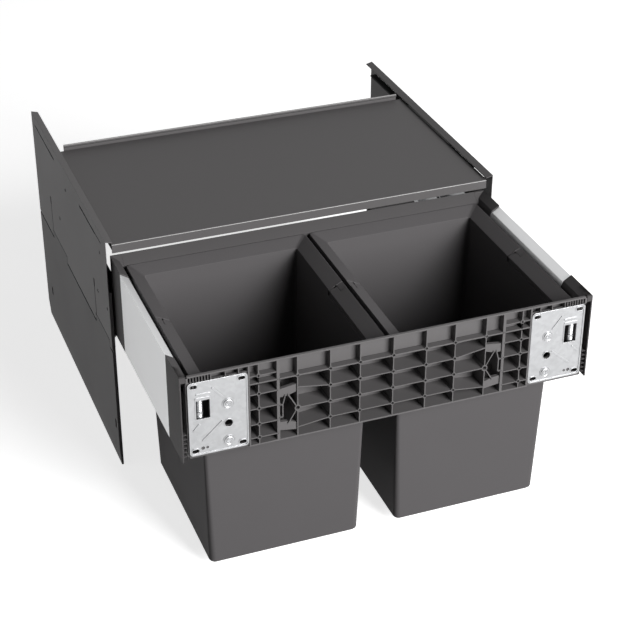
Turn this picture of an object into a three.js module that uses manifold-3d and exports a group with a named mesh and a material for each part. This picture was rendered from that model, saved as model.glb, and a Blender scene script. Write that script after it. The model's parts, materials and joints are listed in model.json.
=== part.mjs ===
// Pull-out waste unit for a kitchen base cabinet: two bins in a frame on full-extension ball runners,
// under a sheet-steel shelf that spans two side panels. Shown pulled right out.
// Millimetres. X across the cabinet, Y from the cabinet's front edge to its back, Z up.
// Origin: middle of the cabinet, at the front edge and the foot of the side panels.
import * as THREE from 'three';
import { mergeVertices } from 'three/addons/utils/BufferGeometryUtils.js';
import Module from 'manifold-3d';

const wasm = await Module();
wasm.setup();

// ---- driving dimensions ----
const gap = 0.3; // between pieces that are assembled, and round everything that slides

// the whole unit
const unitWidth = 562;
const unitHeight = 358.5; // top of the side panels
const panelDepth = 447;
const frameDepth = 317;
const frameHeight = 118.5;

// side panels: steel above, plastic below
const upperPanelHeight = 168.2;
const panelSteel = 1.2;
const panelFlange = 10.4;
const panelFlangeFall = 2.7;
const panelTabWidth = 4.8; // front edge of the steel, folded inward beside the cabinet rail
const seamGap = 1.2;
const lowerPanelThickness = 4.6;
const lowerLapHeight = 4.4;
const lowerBevelHeight = 28;
const lowerBevelDepth = 1.8;
const lowerFloor = 2.4; // of the shallow pocket in the lower panel's inner face
const lowerBorder = 7; // round that pocket
const tabHeight = 9.9;
const frontTab = [12, 90]; // tabs of the lower panel, from the panel's front
const rearTab = [186, 95]; // and from its back
const clipSlotFront = 8;
const clipSlotRear = 45;
const clipSlotWidth = 7;
const clipSlotSpan = [57, 71];
const keyholeFront = 84.5;
const keyholeRear = 97;
const keyholeSlit = 2.2;
const keyholeHead = 5.2;
const keyholeHeadDrops = [111.5, 99.5]; // below the panel's top
const panelHoles = [[35, 33.5], [232, 33.5], [13, 108.5]]; // from the panel's front, and below its top
const panelHoleRadius = 2.6;

// shelf of folded sheet over the bins
const shelfClearance = 9.5; // beside it, to the panels' outer faces
const shelfDrop = 6.8; // its top below the panels' top
const shelfFront = 1;
const shelfRearClearance = 9; // its back edge, ahead of the closed frame's back
const shelfSteel = 1.2;
const shelfFascia = 12.5;
const shelfSideFlange = 8.6;
const shelfLipHeight = 8.7;
const shelfLipInset = 8;
const shelfFrontSlot = [58, 144]; // in the side panels, for the shelf's tongues
const shelfRearTongue = 8;
const shelfSlotRear = 20; // back end of the rear slot, from the panel's back
const shelfSlotLead = 33; // the front slot starts narrow, this far ahead of the tongue
const shelfSlotHeight = 3;
const shelfSlotDrop = 10.1; // foot of the slots, below the shelf's top

// bin frame
const frameClearance = 8.1; // beside it, to the panels' outer faces
const frameDrop = 20.2; // its top below the shelf's top
const sideTopDrop = 2;
const sideFootDrop = 2.5;
const frontCapLength = 57.2;
const rearCapLength = 50.3;
const sideWidth = 15.6;
const sideSteel = 1;
const capWall = 1.8;
const capTeeth = 6;
const capToothPitch = 6.2;
const capShoulderRun = 10.9;
const capShoulderFall = 7;
const capChamferRun = 4.7;
const capChamferFall = 6;

// ribbed front rail
const railInset = 7.9; // its ends, from the frame's sides
const railWall = 2.2;
const railRib = 1.5;
const railTopDepth = 10.2;
const railDepth = 28.8;
const railLipDepth = 3.7;
const railSlantFall = 8.5;
const ledgeDrop = 27.8; // the bins' ledge, below the frame's top
const ledgeThickness = 2;
const ledgeChamferRun = 4.4; // clears the underside of the bins' funnels
const ledgeChamferFall = 2.2;
const ribPitch = 23.5;
const gridColumns = [0, 44, 83];
const bayBossInset = 61.6; // these four from the wall beside the bracket
const mainRibInset = 36.9;
const endRibInset = 12.1;
const mainRib = 3.8;
const rowRise = 6.6; // how far the second rib climbs in the bay with the large boss
const rowFall = 5; // how far the fourth rib drops there
const endRowDrops = [18.1, 44.3, 65.3, 87.8, 107.3]; // of the outer bay's ribs, below the frame's top
const nodeBossRadius = 2.6;
const bayBossRadius = 4;
const nodeHoleRadius = 1.3;
const bayHoleRadius = 2.2;
const bossHoleDepth = 6;
const gussetSpan = [2, 7]; // how far behind the rail's face the gussets lie
const gussetOutline = [[0, -4], [0, 6.5], [0.5, 10.5], [1, 11.5], [1, -0.5]]; // share of the bay, and rise
const stayRise = 8; // where the slanting stays meet the gussets
const eyeWidth = 5.6;
const eyeHalfHeight = 9;
const combPitch = 3.6;
const combTeeth = 9;
const combOffset = 8; // first tooth, from the bracket's middle
const combRib = 1.2;
const loneRibs = [-26.4, -10]; // from the bracket's middle

// rear rail
const rearSeatDepth = 11.8;
const rearLedgeDepth = 26.2;
const rearChamferDrop = 11.5;
const rearBays = 4;

// zinc front brackets
const bracketWidth = 75;
const bracketEdge = 1.5; // outer side, from the rail's end
const bracketRise = 3.6; // foot, above the frame's foot
const bracketTopDrop = 9.9;
const bracketThickness = 2.2;
const bracketCorner = 5;
const bracketRim = 1.9;
const bracketRimDepth = 0.7;
const bracketSlotLength = 9;
const bracketSlotWidth = 4.6;
const bracketSlotInset = [7.6, 6.4]; // middle of a corner slot, from the plate's side and from its end
const bracketBorder = 1.6; // raised round slots, screws and window
const bracketRelief = 0.4; // the raised parts stand this much behind the rim
const twinHoles = [[15, 1.8], [20.6, 2.4]]; // from the bracket's middle, and radius
const twinHoleHeight = 9;
const bracketRidge = 2.2;
const bracketRidges = [
  [[-6.5, 76], [6, 92]],
  [[-4.5, 42], [20, 20]],
  [[8, 84], [31, 84]],
];
const footNotch = [12, 23];
const footNotchHeight = 1.4;
const windowWidth = 17;
const windowHeight = 26;
const windowInset = 10.5;
const windowFoot = 52;
const bracketScrewX = 12.5;
const bracketScrewHeights = [12.4, 65.8];
const seatMargin = 7; // round the opening of the rail's hollow behind the bracket
const screwBossRadius = 4.8;
const screwBossDepth = 16;
const pilotHoleHeight = 38.2;
const pilotHoleRadius = 5;
const pilotBore = 3.6;
const screwHeadRadius = 6.2;
const screwShankRadius = 2.4;
const screwLength = 12;
const screwHeadHeight = 1.6;
const screwHeadSeat = 0.7; // how deep its underside lies in the plate
const screwCross = [6, 1.4];
const adjusterRadius = 3.2;
const adjusterCollar = 1;
const adjusterDepth = 7; // its axis, behind the bracket's face
const adjusterInset = 5.4; // its axis, from the window's outer side
const journalRadius = 1.5;
const lugThickness = 2.2;
const lugWidth = 10;

// runners: three nested channels and two ball cages in each hollow side
const runnerFront = 32;
const runnerRearClearance = 5;
const overTravel = 26.5; // the frame comes out this much further than the runner is long
const runnerRise = 32; // the runners' middle, above the frame's foot
const runnerSteel = 1.2;
const outerHalf = 22.5;
const middleHalf = 16.4;
const innerHalf = 10.6;
const outerLegs = 9.6;
const middleBack = 2.8;
const middleSteel = 1;
const innerLegStart = 5.6;
const cageSteel = 0.8;
const cageStrip = 0.6;
const cageLength = 110;
const ballsPerRow = 3;
const webGap = 0.4; // between a cage's web and the channels' webs
const runnerThickness = 12;
const railFlangeRise = 36; // these three above the runners' middle
const railUpstandRise = 57;
const railScrewRise = 6;
const railFlangeFootGap = 1.8; // over the lower panel
const railFlangeInset = 0.8; // behind the panel's front tab
const railBendRise = 8;
const railUpstandFront = 14;
const railScrewFront = 31; // from the runner's front end
const railScrewRear = 21; // and from its back end
const railScrewRadius = 2;
const railScrewHead = 3.6;
const railScrewHeadHeight = 2;
const railScrewRoom = 0.8; // between the screw and the edge of its hole

// bins
const binMiddleGap = 2.7; // these four beside the rim
const binSideGap = 1.7;
const binFrontGap = 2.8;
const binRearGap = 0.7;
const binTaperX = 23.95; // from the rim's edge in to the base
const binTaperY = 24.65;
const binBase = 10.7;
const binWall = 2.2;
const binFunnelRun = 19.5;
const binFunnelFall = 8.8;
const binSkirtHeight = 15.5;
const binRimLand = 1.2;
const binRimStep = 8.6; // the front half of the rim is this much lower, for the handle to lie in
const binRimRadius = 5;
const binThroatRadius = 3;
const binBaseRadius = 8;
const binBaseEdge = 3.5;

// bail handles
const bailPivotDrop = 8.5; // below the rim's top
const bailPin = 1.9;
const bailWall = 2.2;
const bailInnerLip = 6.1;
const bailSplit = 8.6; // the joint line steps here, this far in from the rim's edge
const bailPinRoot = 3; // length of the pins inside the handle's arms
const bailSwing = 12.1; // radius of the rim's end that the handle turns round
const bailArmRoot = 14;
const bailStepRoom = 1.2; // between the handle's eye and the step of the rim

// ---- sizes that follow from those above ----
const panelFace = unitWidth / 2;
const panelInside = panelFace - panelSteel;
const seamHeight = unitHeight - upperPanelHeight;
const tabTop = seamHeight + tabHeight;
const lowerCoreTop = seamHeight - seamGap;
const lapTop = seamHeight + lowerLapHeight;
const tabRows = [frontTab, rearTab.map((inset) => panelDepth - inset)];
const clipSlots = [clipSlotFront, panelDepth - clipSlotRear];
const keyholes = [keyholeFront, panelDepth - keyholeRear];
const keyholeHeadSpan = keyholeHeadDrops.map((drop) => unitHeight - drop);

const shelfHeight = unitHeight - shelfDrop;
const shelfHalfWidth = panelFace - shelfClearance;
const shelfBack = frameDepth - shelfRearClearance;
const shelfSlotFoot = shelfHeight - shelfSlotDrop;
const shelfSlots = [shelfFrontSlot, [shelfBack - shelfRearTongue - gap, panelDepth - shelfSlotRear]];

const frameHalf = panelFace - frameClearance;
const frameTop = shelfHeight - frameDrop;
const frameBottom = frameTop - frameHeight;
const sideTop = frameTop - sideTopDrop;
const sideBottom = frameBottom - sideFootDrop;
const sideInside = frameHalf - sideWidth;
const sideBack = frameDepth - rearCapLength;
const ledgeTop = frameTop - ledgeDrop;
const rearSeat = frameDepth - rearSeatDepth; // face of the rear rail that the bins' rims stand against
const rearChamferFoot = frameTop - rearChamferDrop;

const railHalfWidth = frameHalf - railInset;
const bracketX = railHalfWidth - bracketEdge - bracketWidth / 2;
const bracketFoot = frameBottom + bracketRise;
const bracketHeight = frameHeight - bracketRise - bracketTopDrop;
const plateWallX = bracketX - bracketWidth / 2 - gap - railWall / 2;
const bayBossX = plateWallX - bayBossInset;
const mainRibX = plateWallX - mainRibInset;
const endRibX = plateWallX - endRibInset;

const runnerHeight = frameBottom + runnerRise;
const runnerEnd = frameDepth - runnerRearClearance;
const runnerLength = runnerEnd - runnerFront;
const pullOut = runnerLength + overTravel; // travel of the bin frame, from flush with the cabinet's front
const railFlangeFoot = lapTop + railFlangeFootGap;
const railFlangeTop = runnerHeight + railFlangeRise;
const railUpstandTop = runnerHeight + railUpstandRise;
const railScrewHeight = runnerHeight + railScrewRise;
const railScrewRows = [runnerFront + railScrewFront, runnerEnd - railScrewRear];
const innerSkin = sideInside + sideSteel; // hollow side's inner skin, the face in the hollow
const runnerBack = innerSkin + runnerThickness; // the fixed channel's back
const outerBallRow = (outerHalf - runnerSteel + middleHalf) / 2;
const outerBallRadius = (outerHalf - runnerSteel - middleHalf) / 2 - gap;
const innerBallRow = (middleHalf - middleSteel + innerHalf) / 2;
const innerBallRadius = (middleHalf - middleSteel - innerHalf) / 2 - gap;
const seatHeights = [runnerHeight - innerHalf - gap, runnerHeight + innerHalf + gap];

const rimHalfX = (sideInside - binSideGap - binMiddleGap) / 2;
const binX = binMiddleGap + rimHalfX;
const binFront = railTopDepth + railWall + binFrontGap;
const rimHalfY = (rearSeat - binRearGap - binFront) / 2;
const binSkirtFoot = ledgeTop + gap;
const binRimTop = binSkirtFoot + binSkirtHeight;
const bailPivotHeight = binRimTop - bailPivotDrop;
const funnel = (inset) => binRimTop - (binFunnelFall * inset) / binFunnelRun;
const loweredRim = funnel(bailSplit + gap) - binRimStep; // the front half's surface beside the handle's eye
const bailEyeRadius = bailPivotHeight - loweredRim - gap;
const stepFace = bailEyeRadius + bailStepRoom;

// ---- shared helpers ----
const arcSteps = 16;

function toSolid(geometry) {
  const plain = geometry.clone();
  plain.deleteAttribute('normal');
  plain.deleteAttribute('uv');
  const merged = mergeVertices(plain, 1e-4);
  return new wasm.Manifold(
    new wasm.Mesh({
      numProp: 3,
      vertProperties: new Float32Array(merged.attributes.position.array),
      triVerts: new Uint32Array(merged.index.array),
    }),
  );
}

function toGeometry(solid) {
  const mesh = solid.getMesh();
  const geometry = new THREE.BufferGeometry();
  geometry.setAttribute('position', new THREE.BufferAttribute(new Float32Array(mesh.vertProperties), 3));
  geometry.setIndex(new THREE.BufferAttribute(new Uint32Array(mesh.triVerts), 1));
  geometry.computeVertexNormals();
  return geometry;
}

function box(x0, x1, y0, y1, z0, z1) {
  const geometry = new THREE.BoxGeometry(x1 - x0, y1 - y0, z1 - z0);
  return toSolid(geometry.translate((x0 + x1) / 2, (y0 + y1) / 2, (z0 + z1) / 2));
}

function outline(points) {
  return new THREE.Shape(points.map(([a, b]) => new THREE.Vector2(a, b)));
}

// section drawn in (y, z), run along X
function prismX(shape, x0, x1) {
  const geometry = new THREE.ExtrudeGeometry(shape, { depth: x1 - x0, bevelEnabled: false });
  const turn = new THREE.Matrix4().makeBasis(
    new THREE.Vector3(0, 1, 0),
    new THREE.Vector3(0, 0, 1),
    new THREE.Vector3(1, 0, 0),
  );
  return toSolid(geometry.applyMatrix4(turn).translate(x0, 0, 0));
}

// section drawn in (x, z), run along Y
function prismY(shape, y0, y1, curveSegments = 1) {
  const geometry = new THREE.ExtrudeGeometry(shape, { depth: y1 - y0, bevelEnabled: false, curveSegments });
  return toSolid(geometry.rotateX(Math.PI / 2).translate(0, y1, 0));
}

function rodX(radius, x0, x1, y, z, steps = arcSteps) {
  const geometry = new THREE.CylinderGeometry(radius, radius, x1 - x0, steps);
  return toSolid(geometry.rotateZ(Math.PI / 2).translate((x0 + x1) / 2, y, z));
}

function rodY(radius, y0, y1, x, z, steps = arcSteps) {
  const geometry = new THREE.CylinderGeometry(radius, radius, y1 - y0, steps);
  return toSolid(geometry.translate(x, (y0 + y1) / 2, z));
}

function rodZ(radius, z0, z1, x, y) {
  const geometry = new THREE.CylinderGeometry(radius, radius, z1 - z0, 8);
  return toSolid(geometry.rotateX(Math.PI / 2).translate(x, y, (z0 + z1) / 2));
}

function join(pieces) {
  return pieces.reduce((whole, piece) => whole.add(piece));
}

function cut(solid, tools) {
  return tools.reduce((rest, tool) => rest.subtract(tool), solid);
}

// closed outline of a folded sheet: the given face, and the same face set off by the thickness
function foldedSheet(face, thickness) {
  const back = face.map((point, i) => {
    const before = face[Math.max(i - 1, 0)];
    const after = face[Math.min(i + 1, face.length - 1)];
    const normals = [];
    for (const [from, to] of [[before, point], [point, after]]) {
      const length = Math.hypot(to[0] - from[0], to[1] - from[1]);
      if (length > 0) normals.push([-(to[1] - from[1]) / length, (to[0] - from[0]) / length]);
    }
    const [n, m] = [normals[0], normals[normals.length - 1]];
    const scale = thickness / (1 + n[0] * m[0] + n[1] * m[1]);
    return [point[0] + (n[0] + m[0]) * scale, point[1] + (n[1] + m[1]) * scale];
  });
  return outline([...face, ...back.reverse()]);
}

function roundedOutline(x0, x1, z0, z1, radius) {
  const shape = new THREE.Shape();
  shape.moveTo(x0 + radius, z0);
  shape.lineTo(x1 - radius, z0);
  shape.absarc(x1 - radius, z0 + radius, radius, -Math.PI / 2, 0);
  shape.lineTo(x1, z1 - radius);
  shape.absarc(x1 - radius, z1 - radius, radius, 0, Math.PI / 2);
  shape.lineTo(x0 + radius, z1);
  shape.absarc(x0 + radius, z1 - radius, radius, Math.PI / 2, Math.PI);
  shape.lineTo(x0, z0 + radius);
  shape.absarc(x0 + radius, z0 + radius, radius, Math.PI, 1.5 * Math.PI);
  return shape;
}

function mirrored(geometry) {
  const flipped = geometry.clone();
  flipped.scale(-1, 1, 1);
  const index = Array.from(flipped.index.array);
  for (let i = 0; i < index.length; i += 3) {
    [index[i], index[i + 1]] = [index[i + 1], index[i]];
  }
  flipped.setIndex(index);
  flipped.computeVertexNormals();
  return flipped;
}

const materials = {
  anthraciteSteel: { color: 0x5b595a, roughness: 0.55, metalness: 0.2 },
  anthracitePlastic: { color: 0x4c4a4b, roughness: 0.6, metalness: 0 },
  binPlastic: { color: 0x565354, roughness: 0.55, metalness: 0 },
  silverSteel: { color: 0xc9c9ca, roughness: 0.4, metalness: 0.3 },
  zinc: { color: 0xd6d6d8, roughness: 0.3, metalness: 0.9 },
  runnerSteel: { color: 0xa9abae, roughness: 0.35, metalness: 0.9 },
};

function addPiece(group, name, geometry, material) {
  const mesh = new THREE.Mesh(geometry, new THREE.MeshStandardMaterial(materials[material]));
  mesh.name = name;
  group.add(mesh);
  return mesh;
}

// a piece drawn on the right, and its mirror image on the left
function addPair(rightGroup, leftGroup, name, solid, material) {
  const geometry = toGeometry(solid);
  addPiece(rightGroup, `${name}_right`, geometry, material);
  addPiece(leftGroup, `${name}_left`, mirrored(geometry), material);
}

// ---- side panels ----
function upperPanel() {
  const face = [
    [panelFace, seamHeight],
    [panelFace, unitHeight],
    [panelFace - panelFlange, unitHeight - panelFlangeFall],
  ];
  const sheet = prismY(foldedSheet(face, panelSteel), 0, panelDepth);
  const foldedEdge = box(panelFace - panelTabWidth, panelFace, 0, panelSteel, lapTop + gap, railFlangeTop);
  const through = [panelFace - 3 * panelSteel, panelFace + 1];
  const slit = keyholeSlit / 2;
  const head = keyholeHead / 2;
  const [frontSlot, rearSlot] = shelfSlots;
  const slotTop = shelfSlotFoot + shelfSlotHeight;
  const leadFront = frontSlot[0] - shelfSlotLead;
  const tools = [
    ...tabRows.map(([y0, y1]) => box(...through, y0, y1, seamHeight - 1, tabTop + seamGap)),
    box(...through, ...frontSlot, shelfSlotFoot, slotTop),
    box(...through, ...rearSlot, shelfSlotFoot, slotTop),
    box(...through, leadFront, frontSlot[0] + 1, slotTop - shelfSlotHeight / 2, slotTop),
    ...keyholes.map((y) => box(...through, y - slit, y + slit, tabTop, keyholeHeadSpan[1] - 1)),
    ...keyholes.map((y) => box(...through, y - head, y + head, ...keyholeHeadSpan)),
    ...panelHoles.map(([y, drop]) => rodX(panelHoleRadius, ...through, y, unitHeight - drop, 12)),
    ...railScrewRows.map((y) => rodX(railScrewRadius + railScrewRoom, ...through, y, railScrewHeight, 12)),
  ];
  return cut(join([sheet, foldedEdge]), tools);
}

function lowerPanel() {
  const inside = panelFace - lowerPanelThickness;
  const section = outline([
    [panelFace - lowerBevelDepth, 0],
    [panelFace, lowerBevelHeight],
    [panelFace, lowerCoreTop],
    [panelInside - gap, lowerCoreTop],
    [panelInside - gap, lapTop],
    [inside, lapTop],
    [inside, 0],
  ]);
  const tabs = tabRows.map(([y0, y1]) =>
    box(panelInside + gap, panelFace, y0 + seamGap, y1 - seamGap, lowerCoreTop - 2, tabTop),
  );
  const core = prismY(section, 0, panelDepth);
  const rim = [lowerBorder, panelDepth - lowerBorder];
  const pocket = box(inside - 1, panelFace - lowerFloor, ...rim, lowerBorder, lowerCoreTop - lowerBorder);
  const clips = clipSlots.map((y) => box(inside - 1, panelFace + 1, y, y + clipSlotWidth, ...clipSlotSpan));
  return join([cut(core, [pocket, ...clips]), ...tabs]);
}

// ---- shelf ----
function shelf() {
  const half = shelfHalfWidth;
  const lip = half - shelfLipInset;
  const foot = shelfHeight - shelfSideFlange;
  const under = shelfHeight - shelfSteel;
  const tongueFoot = shelfSlotFoot + gap;
  const tongueTop = tongueFoot + shelfSteel;
  const tongueTip = panelInside + panelSteel / 2;
  const pieces = [
    box(-half, half, shelfFront, shelfBack, under, shelfHeight),
    box(-half, half, shelfFront, shelfFront + shelfSteel, shelfHeight - shelfFascia, shelfHeight),
    box(-lip, lip, shelfBack - shelfSteel, shelfBack, under, shelfHeight + shelfLipHeight),
  ];
  for (const side of [-1, 1]) {
    const flange = [side * half, side * (half - shelfSteel)].sort((a, b) => a - b);
    pieces.push(box(...flange, shelfFront, shelfBack, foot, shelfHeight));
    const reach = [side * (half - shelfSteel), side * tongueTip].sort((a, b) => a - b);
    pieces.push(box(...reach, shelfSlots[0][0] + gap, shelfSlots[0][1] - gap, tongueFoot, tongueTop));
    pieces.push(box(...reach, shelfSlots[1][0] + gap, shelfBack, tongueFoot, tongueTop));
  }
  return join(pieces);
}

// ---- runners, in the places they have when the frame is pushed in ----
function channel(back, legEnd, half, thickness) {
  const section = foldedSheet(
    [
      [legEnd, runnerHeight - half],
      [back, runnerHeight - half],
      [back, runnerHeight + half],
      [legEnd, runnerHeight + half],
    ],
    back > legEnd ? thickness : -thickness,
  );
  return prismY(section, runnerFront, runnerEnd);
}

function cabinetRail() {
  const flangeInside = panelInside - runnerSteel;
  const bend = [
    [flangeInside, railFlangeFoot],
    [runnerBack, railFlangeFoot + railBendRise],
    [runnerBack, railUpstandTop],
  ];
  const flangeFront = panelSteel + railFlangeInset;
  const flange = box(flangeInside, panelInside, flangeFront, runnerEnd, railFlangeFoot, railFlangeTop);
  const web = prismY(foldedSheet(bend, -runnerSteel), railUpstandFront, runnerEnd);
  const holes = railScrewRows.map((y) =>
    rodX(railScrewRadius + gap, flangeInside - 1, panelFace, y, railScrewHeight, 12),
  );
  return cut(join([flange, web]), holes);
}

function railScrew(y) {
  const headBack = panelInside - runnerSteel;
  return join([
    rodX(railScrewHead, headBack - railScrewHeadHeight, headBack, y, railScrewHeight, 12),
    rodX(railScrewRadius, headBack - 1, panelInside + panelSteel / 2, y, railScrewHeight, 12),
  ]);
}

function ballCage(webFrom, legEnd, row, ballX, ballRadius) {
  const middle = runnerFront + runnerLength / 2;
  const front = middle - cageLength / 2;
  const back = middle + cageLength / 2;
  const pieces = [
    box(webFrom - cageSteel, webFrom, front, back, runnerHeight - row, runnerHeight + row),
  ];
  for (const side of [-1, 1]) {
    const z = runnerHeight + side * row;
    pieces.push(box(legEnd, webFrom, front, back, z - cageStrip / 2, z + cageStrip / 2));
    for (let i = 0; i < ballsPerRow; i += 1) {
      const y = front + (cageLength * (i + 0.5)) / ballsPerRow;
      const ball = new THREE.SphereGeometry(ballRadius, 6, 4).translate(ballX, y, z);
      pieces.push(toSolid(ball));
    }
  }
  return join(pieces);
}

// ---- bin frame: its own Y starts at its front face ----
// the fixed channel and its rail pass the outer skin of a cap here
function runnerRoom(y0, y1) {
  return box(runnerBack - 3, frameHalf - sideSteel, y0, y1, sideBottom - 1, railUpstandTop + 3);
}

function sideFace(top, bottom) {
  return [
    [frameHalf, bottom],
    [frameHalf, top],
    [frameHalf - capShoulderRun, top - capShoulderFall],
    [sideInside, top - capShoulderFall - capChamferFall - capChamferRun],
    [sideInside, bottom + 3],
  ];
}

function drawerSide() {
  return prismY(foldedSheet(sideFace(sideTop, sideBottom), sideSteel), frontCapLength, sideBack);
}

function frontCap() {
  const hollow = prismY(foldedSheet(sideFace(frameTop, sideBottom), capWall), 0, frontCapLength);
  const room = box(0, railHalfWidth + gap, -1, railDepth + gap, 0, frameTop + 1);
  const seat = box(innerSkin, runnerBack, runnerFront - gap, frontCapLength, ...seatHeights);
  const brow = box(railHalfWidth + gap, frameHalf, 0, railLipDepth, frameTop - 8, frameTop);
  const teeth = [];
  for (let i = 0; i < capTeeth; i += 1) {
    const z = sideBottom + (i + 1) * capToothPitch;
    teeth.push(box(railHalfWidth + 1, frameHalf - 1, 2, railUpstandFront - 2, z, z + combRib));
  }
  return join([cut(hollow, [room, seat, runnerRoom(railUpstandFront - 1, frontCapLength)]), brow, ...teeth]);
}

function rearCap() {
  const hollow = prismY(foldedSheet(sideFace(frameTop, sideBottom), capWall), sideBack, frameDepth);
  const chamfer = prismX(
    outline([
      [frameDepth, frameTop],
      [rearSeat, rearChamferFoot],
      [rearSeat, rearChamferFoot - 3],
      [frameDepth, frameTop - 3],
    ]),
    sideInside,
    frameHalf,
  );
  const backFoot = railUpstandTop + 4;
  const backWall = box(sideInside, frameHalf, frameDepth - capWall, frameDepth, backFoot, frameTop - 0.5);
  const seat = box(innerSkin, runnerBack, sideBack, runnerEnd + gap, ...seatHeights);
  return join([cut(hollow, [seat, runnerRoom(sideBack, frameDepth)]), chamfer, backWall]);
}

function rearRail() {
  const half = sideInside;
  const seatBack = rearSeat + railWall;
  const ledgeFront = frameDepth - rearLedgeDepth;
  const wall = outline([
    [frameDepth, frameTop],
    [rearSeat, rearChamferFoot],
    [rearSeat, ledgeTop],
    [ledgeFront, ledgeTop],
    [ledgeFront, frameBottom],
    [frameDepth, frameBottom],
    [frameDepth, frameBottom + railWall],
    [ledgeFront + railWall, frameBottom + railWall],
    [ledgeFront + railWall, ledgeTop - ledgeThickness],
    [seatBack, ledgeTop - ledgeThickness],
    [seatBack, rearChamferFoot - 1],
    [frameDepth, frameTop - 3],
  ]);
  const pieces = [prismX(wall, -half, half)];
  const rib = outline([
    [frameDepth, frameTop - 1],
    [rearSeat + 1, rearChamferFoot - 1],
    [rearSeat + 1, ledgeTop - 1],
    [ledgeFront + 1, ledgeTop - 1],
    [ledgeFront + 1, frameBottom + 1],
    [frameDepth, frameBottom + 1],
  ]);
  for (let i = 0; i <= rearBays; i += 1) {
    const x = -half + (i * (2 * half - railRib)) / rearBays;
    pieces.push(prismX(rib, x, x + railRib));
  }
  return join(pieces);
}

// a rib drawn on the rail's face, from one point to another, as deep as the rail
function faceRib(from, to, thickness, depth) {
  const length = Math.hypot(to[0] - from[0], to[1] - from[1]);
  const side = [
    (-(to[1] - from[1]) / length) * (thickness / 2),
    ((to[0] - from[0]) / length) * (thickness / 2),
  ];
  const shape = outline([
    [from[0] - side[0], from[1] - side[1]],
    [to[0] - side[0], to[1] - side[1]],
    [to[0] + side[0], to[1] + side[1]],
    [from[0] + side[0], from[1] + side[1]],
  ]);
  return prismY(shape, 0, depth);
}

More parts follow.
